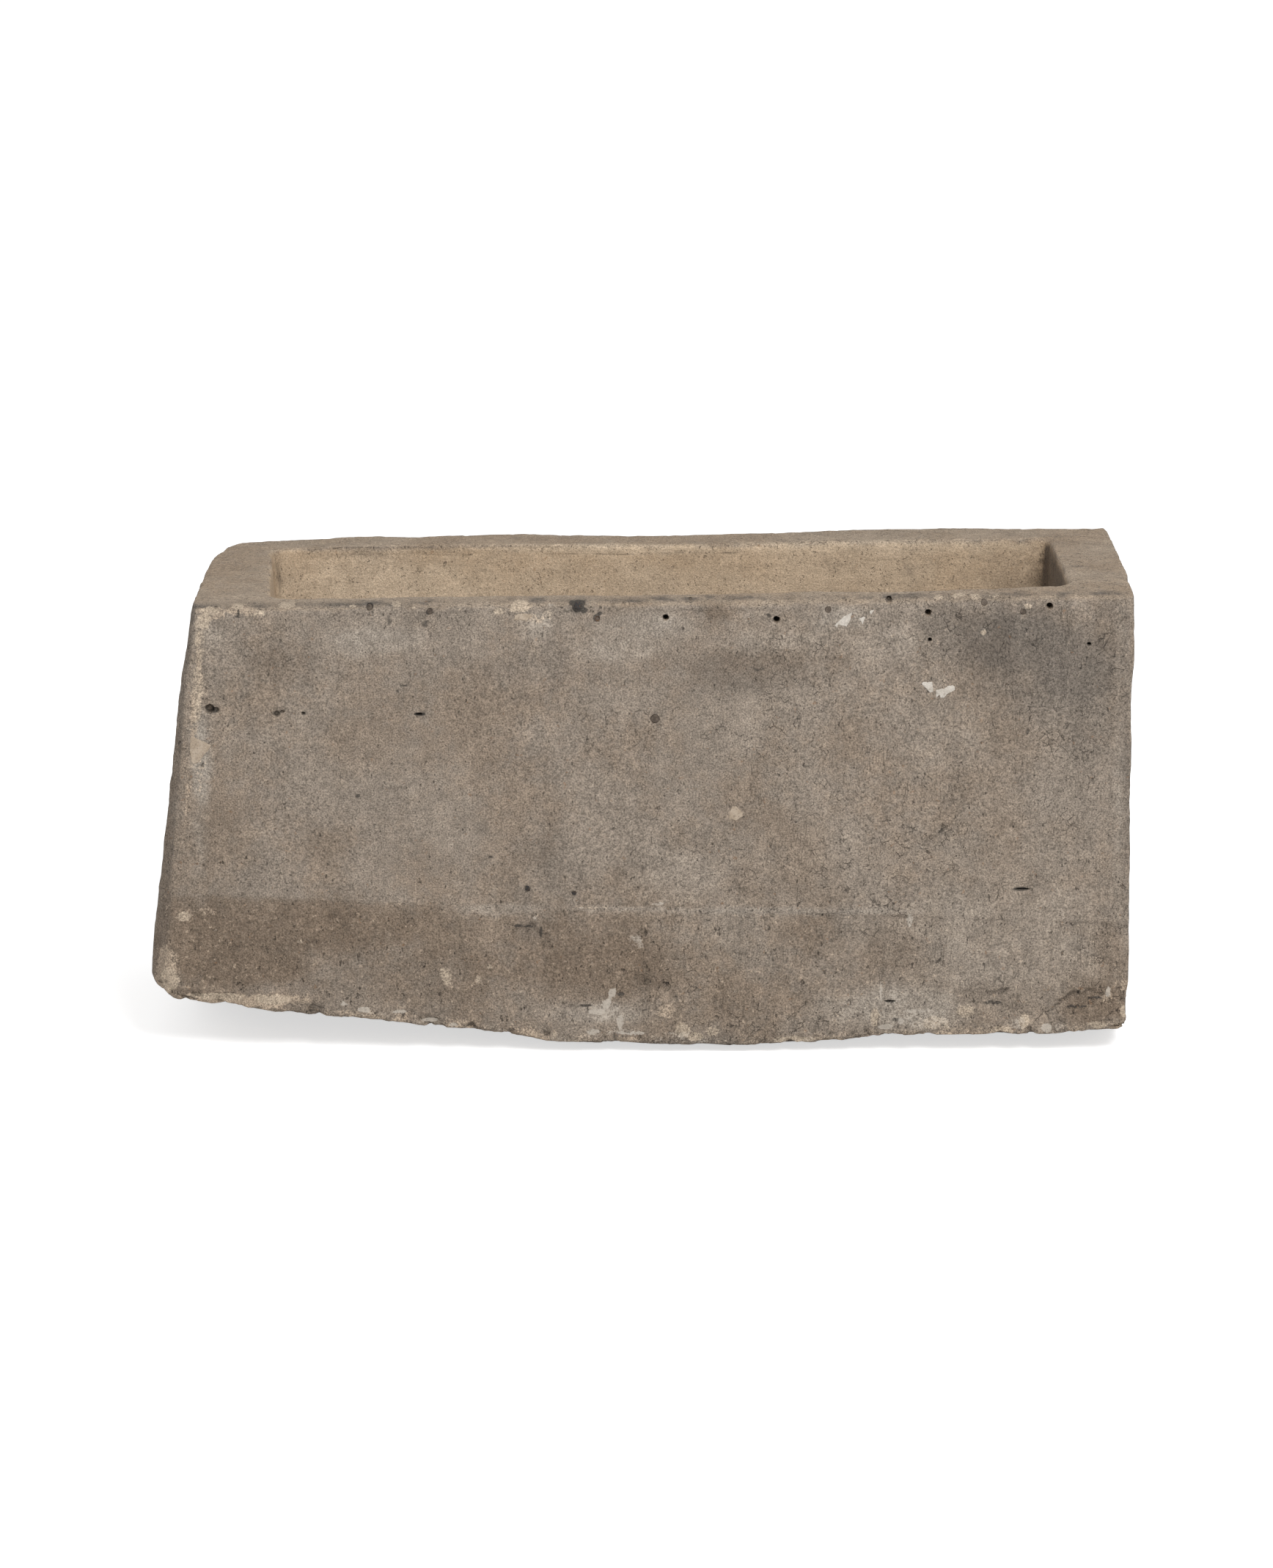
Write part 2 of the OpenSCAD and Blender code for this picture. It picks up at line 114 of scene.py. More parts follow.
# Old holes in the front face: place along, height, half width, half height, depth
DRILLED = (
    (30, 508, 3.4, 3.3, 14), (155, 506, 3.6, 3.5, 16), (282, 527, 3.4, 3.1, 13),
    (326, 514, 3.6, 3.4, 14), (463, 521, 3.5, 3.5, 14), (-486, 403, 6.0, 5.3, 9),
    (-479, 402, 4.0, 3.6, 4), (-410, 398, 3.6, 3.1, 3.2), (-404, 400, 3.0, 1.8, 3),
    (-380, 398, 2.2, 1.7, 3.5), (58, 526, 2.0, 1.7, 8), (328, 483, 2.1, 1.8, 9),
    (508, 478, 2.1, 1.9, 8), (-249, 397, 4.4, 1.5, 5), (437, 194, 9.0, 0.9, 4),
    (287, 62, 6.5, 1.0, 4),
)
# Plugged holes: place along, height, half width, depth of the plug's face
PLUGGED = (
    (-304, 519, 3.3, 2.6), (-236, 515, 3.3, 0.4), (-47, 507, 2.2, 1.2), (213, 517, 3.3, 0.6),
    (389, 525, 3.3, 0.3), (433, 515, 3.3, 0.3), (18, 391.5, 5.0, 0.5),
)
# Iron stubs: place along, height, half width, how far the crust round them stands out
STUBS = ((-69, 521, 3.5, 2.2), (-127, 194, 2.5, 1.3), (-74, 189, 2.5, 0.9))
# Lime flakes and mortar patches: place along, height, width and outline, as in the source
FLAKES = (
    (326, 428, 22, (
        (-0.34, 0.2), (-0.25, 0.29), (0.24, 0.29), (0.3, -0.02), (0.31, -0.21), (0.14, -0.29))),
    (346, 423, 22, (
        (-0.5, 0.12), (-0.07, 0.17), (0.13, 0.33), (0.38, 0.35), (0.5, 0.27), (0.49, 0.08),
        (0.16, -0.09), (-0.08, -0.33), (-0.23, -0.32), (-0.31, -0.17), (-0.45, -0.34))),
    (230, 506, 22, (
        (-0.48, -0.29), (-0.32, -0.42), (-0.24, -0.27), (0.19, -0.38), (0.32, -0.13),
        (0.44, 0.27), (0.45, 0.4), (0.05, 0.19), (-0.2, -0.04))),
    (251, 505, 22, ((-0.15, 0.13), (0.08, 0.21), (0.19, 0.17), (0.04, -0.23))),
    (263, 515, 22, ((-0.16, -0.1), (-0.14, 0.05), (0.12, 0.15), (-0.02, -0.1))),
)
PATCHES = (
    (-131, 508, 24, (
        (-0.49, -0.1), (-0.37, 0.13), (-0.19, 0.21), (0.26, 0.2), (0.51, 0.07), (0.34, 0.04),
        (0.15, -0.19), (0.08, -0.12))),
    (-497, 356, 24, (
        (-0.47, 0.7), (-0.02, 0.47), (0.52, 0.22), (0.39, 0.01), (0.04, -0.42),
        (-0.16, -0.65), (-0.42, -0.69), (-0.52, -0.11))),
    (110, 282, 24, (
        (-0.29, 0.13), (-0.18, 0.36), (0.01, 0.36), (0.32, 0.01), (0.36, -0.15),
        (0.02, -0.34), (-0.36, -0.26))),
)

# Outlines of the waste's turned pieces: radius and height
WASTE_OUTLINE = (
    (19, 12), (22.9, 12), (23.9, 13), (23.9, 44), (23.3, 44), (23.3, 46), (23.9, 46),
    (23.9, 128), (26.5, 130.6), (26.5, 146), (42.5, 146), (42.5, 149), (41.2, 150), (36.2, 150),
    (35, 149.7), (23.4, 148), (20.5, 134), (19, 134),
)
SEAL_OUTLINE = ((26.6, 144), (42.2, 144), (42.5, 145), (42.2, 146), (26.6, 146))
RUBBER_WASHER_OUTLINE = ((24, 58), (44.6, 58), (45, 60), (44.6, 62), (24, 62))
SLIP_WASHER_OUTLINE = ((24, 56), (41, 56), (41, 58), (24, 58))
NUT_OUTLINE = ((24, 46), (32, 46), (35, 47.3), (37, 48), (37, 54), (35, 54.7), (32, 56), (24, 56))
PLUG_OUTLINE = (
    (0, 137), (14.5, 137), (16, 134.3), (20.25, 134.3), (22.7, 148), (22.7, 148.3), (22, 149),
    (18.6, 149), (18.2, 148.5), (17.2, 148.5), (16.8, 149), (9.4, 149), (9.0, 148.6), (0, 148.6),
)
COLLAR_OUTLINE = (
    (0, 141), (2, 141), (2, 148.6), (6, 148.6), (6, 149.4), (5.2, 150), (3, 150.4), (2.3, 151.6),
    (0, 151.6),
)
NUT_FLATS = 64.0
# The thread: its ends, the corner of the outline where it starts, and the space between rows
THREAD_LOW, THREAD_HIGH = 13.0, 43.6
THREAD_START = (23.9, 13)
THREAD_ROWS = 0.36
THREAD_DEPTH = 1.1
# The cross of bars: size, height and rounding
BAR_SIZE = (38.2, 5.0, 5.0)
BAR_HEIGHT = 126.5
BAR_ROUNDING = 1.1
# The eye: height, radius, half thickness of its wire; the ring: radius, half thickness
EYE = (155.53, 5.0, 1.6)
RING = (19.0, 1.5)
RING_LEAN = math.radians(5.64)
# The cut in the ring's wire: its place beside the middle, width and depth
SPLIT = (0.8, 0.35, 0.28)

SHAPE_SEED, STAIN_SEED, FIXING_SEED = 11, 5, 23

# Height of the broad, middle and fine waves on each side of the block
WAVE_SIZES = (170, 46, 13)
WAVES = (
    ("plain", 0.8, 0.45, 0.22), ("band", 0.7, 1.0, 0.45), ("rim", 0.8, 0.6, 0.35),
    ("left", 1.2, 1.3, 0.6), ("right", 0.3, 0.9, 0.4), ("back", 4.5, 2.6, 0.7),
    ("under", 2.6, 2.2, 1.0), ("floor", 1.0, 0.6, 0.2), ("end_wall", 1.6, 0.9, 0.3),
    ("side_wall", 1.4, 0.6, 0.2),
)
# Slanting strokes of the pick: how deep on which side, their slant, width and length
STROKES = (("back", 3.0), ("left", 0.7), ("under", 0.8))
STROKE_SLANT = math.radians(34)
STROKE_WIDTH = 15
STROKE_STRETCH = (1.0, 1.0, 3.0)
# Open beds of the stone on the rim's ends: where they start, how they slant about a middle,
# their width, and the place across and depth of each
BEDS = (
    ((-425, -450), 0.05, -470, 3.2, (
        (-150, 0.5), (-95, 0.6), (-55, 0.5), (-22, 0.8), (20, 0.5), (52, 0.7), (95, 0.5),
        (120, 0.8))),
    ((490, 515), 0.04, 520, 3.6, (
        (-130, 0.4), (-60, 0.5), (0, 0.6), (45, 0.5), (92, 0.8), (150, 0.6))),
)
# Flakes that came off the face: place along, height, half width, half height, depth, lean
SPALLS = (
    (-129, 113, 25, 36, 1.0, 0.3), (-350, 137, 22, 27, 0.7, 0.3), (-300, 120, 32, 22, 0.7, 0.0),
    (510, 52, 38, 20, 1.6, -0.2), (205, 40, 32, 26, 0.9, 0.0), (395, 52, 50, 24, 1.0, 0.1),
    (12, 62, 36, 24, 1.0, 0.2), (-215, 96, 30, 26, 0.7, -0.2), (330, 96, 26, 20, 0.6, 0.2),
    (90, 98, 40, 26, 0.6, 0.0), (-440, 96, 50, 30, 0.7, 0.1),
)
# Two worn lines under the rim, each where the other fades: depth, distance below it, width
RIM_LINES = ((1.1, 12.5, 1.5), (0.7, 4.5, 1.2))
# Width of the drafted margin beside the left arris, by height
DRAFT = ((60, 19), (200, 18), (400, 13), (528, 6))

# Moves of worn edges: axis, millimetres, and the bands in which the move acts, each a
# coordinate and the places where it starts and is whole
HIGH = ("z", 250, 500)
NOSE = (("y", -178, -222), ("drop", 70, 5))
PUSHES = (
    # The back left corner is rounded, and the back right one knocked
    (ALONG, 15.0, ("x", -440, -500), HIGH, ("y", 70, 185)),
    (BACKWARD, -3.0, ("x", -440, -500), HIGH, ("y", 110, 200)),
    (ALONG, -3.0, ("x", 525, 556), HIGH, ("y", 175, 212)),
    # The right end stands out at its rim and at its front arris, the left end below its rim
    (ALONG, 5.5, ("x", 505, 548), ("y", -200, -60), ("drop", 220, 30)),
    (ALONG, 3.0, ("x", 530, 550), ("y", -150, -200), ("z", 430, 470)),
    (ALONG, -2.4, ("from_left", 40, 4), ("z", 90, 140), ("z", 480, 400)),
    # The nose between the rim and the front is worn down, more on the right
    (UP, -1.2, *NOSE),
    (UP, -2.2, *NOSE, ("x", -40, 160)),
)
# Moves that are read from a table along a coordinate
SHIFTS = (
    (BACKWARD, "x", INNER_BACK, ("y", 60, 110), ("y", 185, 150), HIGH),
    (BACKWARD, "x", INNER_FRONT, ("y", -120, -150), ("y", -212, -185), ("drop", 90, 10)),
    (ALONG, "y", INNER_LEFT, ("x", -380, -425), ("x", -505, -445), ("y", -215, -190),
     ("z", FLOOR_Z, FLOOR_Z + 60)),
)
# Low places in the rim: place along, width and depth
LOW_PLACES = ((60, 120, 1.2), (-420, 60, 1.5))
# The lower corners: the left one's centre and radius, and where the right one is knocked
LOWER_LEFT = (-541.0, 93.0, 19.0)
LOWER_RIGHT = (("x", 535, 556), ("z", 84, 70), ("y", -180, -205))


def colour(name, description, *shade):
    """A colour that can be set."""
    return bpy.props.FloatVectorProperty(
        name=name, description=description, subtype="COLOR", default=shade
    )


def number(name, description, default, **kind):
    """A number that can be set."""
    return bpy.props.FloatProperty(name=name, description=description, default=default, **kind)


class TroughStone(bpy.types.PropertyGroup):
    """Sizes and colours of the stone."""

    voxel: number("Voxel", "Grid on which the block is worn", 0.0025, unit="LENGTH")
    triangles: bpy.props.IntProperty(
        name="Triangles", description="Triangles of the block before its marks", default=157000
    )
    roughness: number("Roughness", "Strength of the hewn relief", 1.0)
    grey: colour("Grey", "Weathered stone", 0.252, 0.209, 0.168)
    brown: colour("Brown", "Earthy stone", 0.225, 0.176, 0.133)
    # The fresh colour is also laid on the rim's upward faces as painted top light.
    fresh: colour("Fresh", "Cleaner stone inside", 0.50, 0.385, 0.27)
    fresh_brown: colour("Fresh brown", "Browner stone inside", 0.45, 0.335, 0.225)
    # This dark colour paints soot, and also painted shade along the block's edges, in the grooves
    # under the rim and on the basin's right end wall.
    soot_and_shade: colour("Soot", "Dark weathering", 0.085, 0.075, 0.066)
    buff: colour("Buff", "Buff residue", 0.40, 0.315, 0.235)
    earth: colour("Earth", "Damp brown stains", 0.165, 0.122, 0.087)
    pale: colour("Pale", "Paler, greyer stone", 0.36, 0.32, 0.272)
    bleached: colour("Bleached", "Washed stone in the basin", 0.58, 0.465, 0.34)
    lime: colour("Lime", "White lime", 0.50, 0.445, 0.38)
    scab: colour("Scabs", "Thin buff crust", 0.43, 0.35, 0.265)
    spot: colour("Spots", "Dark marks at the holes", 0.048, 0.042, 0.036)
    rust: colour("Rust", "Rust specks", 0.23, 0.115, 0.05)


class TroughFittings(bpy.types.PropertyGroup):
    """Colours of the waste, the plug and the old iron."""

    brass: colour("Brass", "Dulled brass", 0.50, 0.36, 0.16)
    tarnish: colour("Tarnish", "Brown tarnish", 0.16, 0.105, 0.05)
    rubber: colour("Rubber", "Plug and seals", 0.04, 0.038, 0.036)
    plastic: colour("Washer", "Slip washer", 0.62, 0.60, 0.54)
    iron: colour("Iron", "Blackened iron", 0.028, 0.026, 0.025)
    thread_pitch: number("Thread pitch", "Pitch of the waste's thread", 0.0023, unit="LENGTH")


class TroughStudio(bpy.types.PropertyGroup):
    """Camera and light."""

    camera_place: bpy.props.FloatVectorProperty(
        name="Camera", description="Where the camera stands", subtype="XYZ",
        default=(-0.003, -6.3156, 1.6722),
    )
    pitch: number(
        "Pitch", "How far the camera looks down", math.radians(12.546), subtype="ANGLE"
    )
    lens: number("Lens", "In millimetres", 126.3)
    sky: number("Sky", "Even light all round", 0.56)
    key: number("Key", "Power of the main lamp", 178.0)
    fill: number("Fill", "Power of the side lamp", 14.0)


# Shaping in numbers


def eased(value, start, end):
    """0 at start and before it, 1 at end and past it, with a soft turn at both."""
    part = np.clip((value - start) / (end - start), 0.0, 1.0)
    return part * part * (3.0 - 2.0 * part)


def bell(value, width):
    """1 at zero, falling to nothing at a few widths."""
    return np.exp(-((value / width) ** 2))


def reading(value, table):
    """Reads (place, size) pairs between their places."""
    places, sizes = zip(*table)
    return np.interp(value, places, sizes)


class Noise:
    """Seeded noise of soft bumps, for many points at once."""

    CORNERS = tuple(np.ndindex(2, 2, 2))

    def __init__(self, seed):
        dice = np.random.default_rng(seed)
        self.order = dice.permutation(256)
        slopes = dice.normal(size=(256, 3))
        self.slopes = slopes / np.linalg.norm(slopes, axis=1)[:, None]

    def layer(self, place):
        cell = np.floor(place).astype(int)
        part = place - cell
        turn = part**3 * (part * (part * 6 - 15) + 10)
        total = np.zeros(len(place))
        for corner in self.CORNERS:
            i, j, k = ((cell + corner) & 255).T
            pick = self.order[(self.order[(self.order[i] + j) & 255] + k) & 255]
            weight = np.prod(np.where(corner, turn, 1 - turn), axis=1)
            total += weight * np.sum(self.slopes[pick] * (part - corner), axis=1)
        return total * 1.5

    def __call__(self, points, size, layers=1, stretch=(1, 1, 1)):
        """Roughly -1 to 1, with bumps of a size in millimetres."""
        place = points / (size * np.asarray(stretch, dtype=float))
        total = 0.0
        height = 1.0
        for layer in range(layers):
            total = total + height * self.layer(place * 2**layer + 17.3 * layer)
            height *= 0.5
        return total


# Meshes


def coordinates(mesh):
    """The vertices' places in millimetres, as an array."""
    flat = np.empty(len(mesh.vertices) * 3)
    mesh.vertices.foreach_get("co", flat)
    return flat.reshape(-1, 3) / MM


def directions(mesh):
    flat = np.empty(len(mesh.vertices) * 3)
    mesh.vertex_normals.foreach_get("vector", flat)
    return flat.reshape(-1, 3)


def place_vertices(mesh, points):
    mesh.vertices.foreach_set("co", (points * MM).ravel())
    mesh.update()


def edge_ends(mesh):
    ends = np.empty(len(mesh.edges) * 2, dtype=np.int64)
    mesh.edges.foreach_get("vertices", ends)
    return ends.reshape(-1, 2).T


def smoothed(points, ends, rounds, weight):
    """Each round moves a vertex towards the middle of its neighbours, by its weight."""
    first, second = ends
    number = len(points)
    count = np.bincount(first, minlength=number) + np.bincount(second, minlength=number)
    count = np.maximum(count, 1)
    for _ in range(rounds):
        middle = np.empty_like(points)
        for axis in range(3):
            line = points[:, axis]
            middle[:, axis] = np.bincount(first, line[second], number)
            middle[:, axis] += np.bincount(second, line[first], number)
        middle /= count[:, None]
        points = points + (middle - points) * weight[:, None]
    return points


def welded_copy(node):
    """A bmesh of a CAD node's mesh with its loose triangles joined."""
    work = bmesh.new()
    work.from_mesh(frame["nodes"][node].data)
    bmesh.ops.remove_doubles(work, verts=work.verts, dist=1e-6)
    return work


def finished(work, name, smooth=True):
    """A new object that holds a bmesh."""
    mesh = bpy.data.meshes.new(name)
    for face in work.faces:
        face.smooth = smooth
    work.to_mesh(mesh)
    work.free()
    piece = bpy.data.objects.new(name, mesh)
    bpy.context.scene.collection.objects.link(piece)
    return piece


def with_modifier(piece, kind, **settings):
    """Adds a modifier and applies it at once."""
    added = piece.modifiers.new(kind.title(), kind)
    for key, value in settings.items():
        setattr(added, key, value)
    seen = piece.evaluated_get(bpy.context.evaluated_depsgraph_get())
    mesh = bpy.data.meshes.new_from_object(seen)
    piece.modifiers.clear()
    old = piece.data
    piece.data = mesh
    bpy.data.meshes.remove(old)
    return piece


def placed(piece, body, slot, *nodes):
    """Rides a piece on its body, in place of its CAD nodes."""
    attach(piece, body)
    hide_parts(*nodes)
    return piece


# Materials


class Shader:
    """The nodes of a material or a world, and short ways to add to them."""

    def __init__(self, owner):
        owner.use_nodes = True
        self.nodes = owner.node_tree.nodes
        self.links = owner.node_tree.links
        self.nodes.clear()

    def feed(self, socket, value):
        if isinstance(value, bpy.types.NodeSocket):
            self.links.new(value, socket)
        else:
            socket.default_value = value

    def add(self, kind, feeds=(), **settings):
        node = self.nodes.new(kind)
        for key, value in settings.items():
            setattr(node, key, value)
        for key, value in dict(feeds).items():
            self.feed(node.inputs[key], value)
        return node

    def math(self, kind, first, second=0.0):
        return self.add("ShaderNodeMath", {0: first, 1: second}, operation=kind).outputs[0]

    def times(self, first, second):
        return self.math("MULTIPLY", first, second)

    def plus(self, first, second, share=None):
        """The first and the second, or the first and a share of the second."""
        return self.math("ADD", first, second if share is None else self.times(second, share))

    def direct(self):
        """1 for rays from the camera and for reflections, 0 for light that is scattered."""
        seen = self.add("ShaderNodeLightPath").outputs
        return self.math("MAXIMUM", seen["Is Camera Ray"], seen["Is Glossy Ray"])


class Paint(Shader):
    """A material built from nodes on the object's own coordinates."""

    def __init__(self, name, roughness, metallic=0.0, level=0.35):
        self.material = bpy.data.materials.new(name)
        super().__init__(self.material)
        feeds = {"Roughness": roughness, "Metallic": metallic, "Specular IOR Level": level}
        self.surface = self.add("ShaderNodeBsdfPrincipled", feeds)
        self.add("ShaderNodeOutputMaterial", {"Surface": self.surface.outputs[0]})
        self.place = self.add("ShaderNodeTexCoord").outputs["Object"]

    def between(self, value, low, high, start=0.0, end=1.0):
        """Carries a value from low..high to start..end, softly and within them."""
        feeds = {"Value": value, "From Min": low, "From Max": high, "To Min": start, "To Max": end}
        node = self.add("ShaderNodeMapRange", feeds, interpolation_type="SMOOTHSTEP")
        return node.outputs["Result"]

    def shifted(self, stretch=(1, 1, 1), turn=(0, 0, 0), start=(0, 0, 0)):
        feeds = {"Vector": self.place, "Scale": stretch, "Rotation": turn, "Location": start}
        return self.add("ShaderNodeMapping", feeds).outputs[0]

    def noise(self, scale, detail=2.0, rough=0.5, place=None):
        feeds = {
            "Vector": place or self.place, "Scale": scale, "Detail": detail, "Roughness": rough,
        }
        return self.add("ShaderNodeTexNoise", feeds).outputs["Fac"]

    def cells(self, scale, feature, place=None):
        feeds = {"Vector": place or self.place, "Scale": scale}
        return self.add("ShaderNodeTexVoronoi", feeds, feature=feature).outputs["Distance"]

    def vector(self, kind, feeds):
        return self.add("ShaderNodeVectorMath", feeds, operation=kind).outputs[0]

    def warped(self, scale, amount):
        """Coordinates pushed about by a noise, in metres."""
        feeds = {"Vector": self.place, "Scale": scale, "Detail": 3.0}
        tint = self.add("ShaderNodeTexNoise", feeds).outputs["Color"]
        centred = self.vector("SUBTRACT", {0: tint, 1: (0.5, 0.5, 0.5)})
        return self.vector("ADD", {0: self.place, 1: self.scaled(centred, amount)})

    def scaled(self, tint, factor):
        """A colour or place times a factor, which may be a socket."""
        return self.vector("SCALE", {0: tint, "Scale": factor})

    def mix(self, amount, under, over):
        """Lays one colour over another. The amount and the colours may be sockets."""
        node = self.add("ShaderNodeMix", data_type="RGBA")
        factor, below, above = (node.inputs[number] for number in (0, 6, 7))
        self.feed(factor, amount)
        for socket, tint in ((below, under), (above, over)):
            self.feed(socket, tint if isinstance(tint, bpy.types.NodeSocket) else (*tint, 1.0))
        return node.outputs[2]

    def kept(self, name):
        """An attribute of the mesh."""
        return self.add("ShaderNodeAttribute", attribute_name=name).outputs["Fac"]

    def stained(self, tint, over, name, field, low, high, wobble, most):
        """Lays a stain over a colour where an attribute is strong, with a broken edge."""
        amount = self.between(self.plus(self.kept(name), field, wobble), low, high, 0.0, most)
        return self.mix(amount, tint, over)

    def finish(self, tint, height, depth, strength, roughness=None):
        feeds = {"Height": height, "Distance": depth, "Strength": strength}
        bump = self.add("ShaderNodeBump", feeds)
        self.feed(self.surface.inputs["Normal"], bump.outputs[0])
        self.feed(self.surface.inputs["Base Color"], tint)
        if roughness is not None:
            self.feed(self.surface.inputs["Roughness"], roughness)
        return self.material


# The stone's noises: scale, detail, roughness, and how their coordinates are shifted
STONE_NOISES = {
    "grit": (520.0, 3.0, 0.66, {}),
    "sand": (1250.0, 1.5, 0.5, {}),
    "patch": (9.0, 5.0, 0.58, {}),
    "blotch": (26.0, 4.0, 0.6, {"start": (0.2, 0.5, 0.1)}),
    "mottle": (64.0, 4.0, 0.62, {}),
    "dapple": (170.0, 3.0, 0.6, {}),
    "streak": (1.0, 3.0, 0.6, {"stretch": (150, 150, 15)}),
    "drip": (1.0, 2.0, 0.5, {"stretch": (46, 46, 5), "start": (3.1, 0, 0)}),
    "bed": (1.0, 3.0, 0.6, {"stretch": (14, 30, 150)}),
    "rusty": (150.0, 2.0, 0.5, {"start": (0.4, 0.2, 0.7)}),
    "quartz": (720.0, 1.0, 0.5, {"start": (0.9, 0.1, 0.3)}),
    "crazing": (75.0, 2.0, 0.6, {}),
    "wide": (11.0, 3.0, 0.5, {}),
    "pitted": (330.0, 2.0, 0.6, {}),
    "dash": (
        1.0, 2.0, 0.6, {"stretch": (190, 190, 110), "turn": (0, 0.3, 0), "start": (0.3, 0.1, 0.2)}
    ),
    "level": (1.0, 1.6, 0.5, {"stretch": (125, 125, 21), "start": (0.7, 0.2, 0.9)}),
    "torn": (36.0, 3.0, 0.6, {"start": (0.1, 0.6, 0.3)}),
}
# Stains in the order in which they lie on the stone: the colour's name, the attribute, the
# noise that breaks the edge, where the stain starts and is whole, the noise's share, the most
FIRST_STAINS = (
    ("earth", "brown", "mottle", 0.25, 1.05, 0.5, 0.85),
    ("pale", "pale", "mottle", 0.35, 1.2, 0.7, 0.8),
    ("bleached", "bleached", "mottle", 0.3, 1.1, 0.6, 0.8),
    ("buff", "buff", "crumbly", 1.02, 1.26, 0.95, 0.8),
)
# The soot stain holds painted shade as well as soot.
DARK_STAINS = (
    ("soot_and_shade", "soot_and_shade", "mottle", 0.28, 1.25, 0.55, 0.9),
    ("scab", "buff_scabs", "crumbly", 0.72, 1.0, 0.6, 0.75),
    ("spot", "spots", "crumbly", 0.62, 0.95, 0.6, 0.88),
)
LAST_STAINS = (
    ("rust", "rust", "grit", 0.72, 0.95, 0.6, 0.7),
    ("lime", "lime", "crumbly", 1.06, 1.34, 1.0, 0.6),
    ("lime", "lime_scabs", "crumbly", 0.78, 1.05, 0.65, 0.75),
)
# Specks of a colour where a noise is high: noise, colour, where they start and are whole
SPECKS = (("rusty", "rust", 0.70, 0.76), ("quartz", "lime", 0.69, 0.76))
SPECKS_MOST = 0.35
# How strongly each noise shades the stone outside, and how much less so in the basin
GRAINS = (
    ("grit", 0.9, 0.4), ("sand", 0.32, 0.1), ("blotch", 0.16, 0.0), ("mottle", 0.22, 0.1),
    ("dapple", 0.22, 0.12),
)
# How much each noise and mark lifts the surface
LIFTS = (
    ("sand", 0.3), ("mottle", 0.9), ("dapple", 0.5), ("crack", -0.45), ("pit", -0.6),
    ("fleck", -0.5),
)


def stone_fields(paint):
    """The stone's noises and marks by name."""
    fields = {}
    for name, (scale, detail, rough, shift) in STONE_NOISES.items():
        place = paint.shifted(**shift) if shift else None
        fields[name] = paint.noise(scale, detail, rough, place)
    crumbly = paint.plus(paint.times(fields["dapple"], 0.6), fields["mottle"], 0.3)
    fields["crumbly"] = paint.plus(crumbly, fields["grit"], 0.6)
    fields["crack"] = cracks(paint, fields)
    fields["fleck"] = paint.between(fields["dash"], 0.66, 0.72)
    fields["pit"] = paint.between(fields["pitted"], 0.27, 0.36, 1.0, 0.0)
    return fields


def cracks(paint, fields):
    """Fine crazing and upright splits of the sandy face: 0 for none to 1."""
    cell = paint.cells(84.0, "DISTANCE_TO_EDGE", paint.warped(90.0, 0.009))
    crazed = paint.between(cell, 0.0, 0.05, 1.0, 0.0)
    crazed = paint.times(crazed, paint.between(fields["crazing"], 0.5, 0.6))
    crazed = paint.times(crazed, paint.between(fields["wide"], 0.4, 0.6))
    split = paint.math("ABSOLUTE", paint.math("SUBTRACT", fields["level"], 0.5))
    split = paint.between(split, 0.0, 0.016, 0.6, 0.0)
    split = paint.times(split, paint.between(fields["torn"], 0.48, 0.6))
    return paint.times(paint.math("MAXIMUM", crazed, split), paint.kept("crazed"))


def stone_ground(paint, stone, fields, inside):
    """The stone's own colour, greyer outside and fresher in the basin; the fresh colour also
    lightens the rim's upward faces as painted top light.
    """
    warm = paint.between(paint.plus(fields["patch"], fields["mottle"], 0.5), 0.62, 0.92)
    weathered = paint.mix(warm, stone.grey, stone.brown)
    fresh = paint.mix(warm, stone.fresh, stone.fresh_brown)
    fresh = paint.scaled(fresh, paint.between(fields["bed"], 0.35, 0.68, 0.93, 1.05))
    return paint.mix(inside, weathered, fresh)


def stone_shade(paint, fields, inside):
    """How light or dark the grain, the runs and the cracks make the stone, with painted shade in
    the hollows and the ridges a little lighter.
    """
    runs = paint.between(fields["streak"], 0.3, 0.7, -0.035, 0.035)
    runs = paint.plus(runs, paint.between(fields["drip"], 0.3, 0.7, -0.05, 0.05))
    shade = paint.plus(paint.times(runs, paint.math("SUBTRACT", 1.0, inside)), 1.0)
    for name, most, less in GRAINS:
        spread = paint.math("SUBTRACT", most, paint.times(inside, less))
        swing = paint.times(paint.between(fields[name], 0.28, 0.72, -0.5, 0.5), spread)
        shade = paint.times(shade, paint.plus(swing, 1.0))
    cracked, pitted = paint.times(fields["crack"], 0.6), paint.times(fields["pit"], 0.38)
    dark = paint.math("MAXIMUM", cracked, pitted)
    seen = paint.math("SUBTRACT", 0.6, paint.times(inside, 0.3))
    dark = paint.math("MAXIMUM", dark, paint.times(fields["fleck"], seen))
    # Painted shade darkens the hollows of the surface, and the ridges are made a little lighter.
    hollow = paint.kept("hollow")
    dark = paint.plus(dark, paint.between(hollow, 0.10, 0.9, 0.0, 0.5))
    shade = paint.times(shade, paint.math("SUBTRACT", 1.0, dark))
    return paint.times(shade, paint.between(hollow, -0.9, -0.15, 1.10, 1.0))


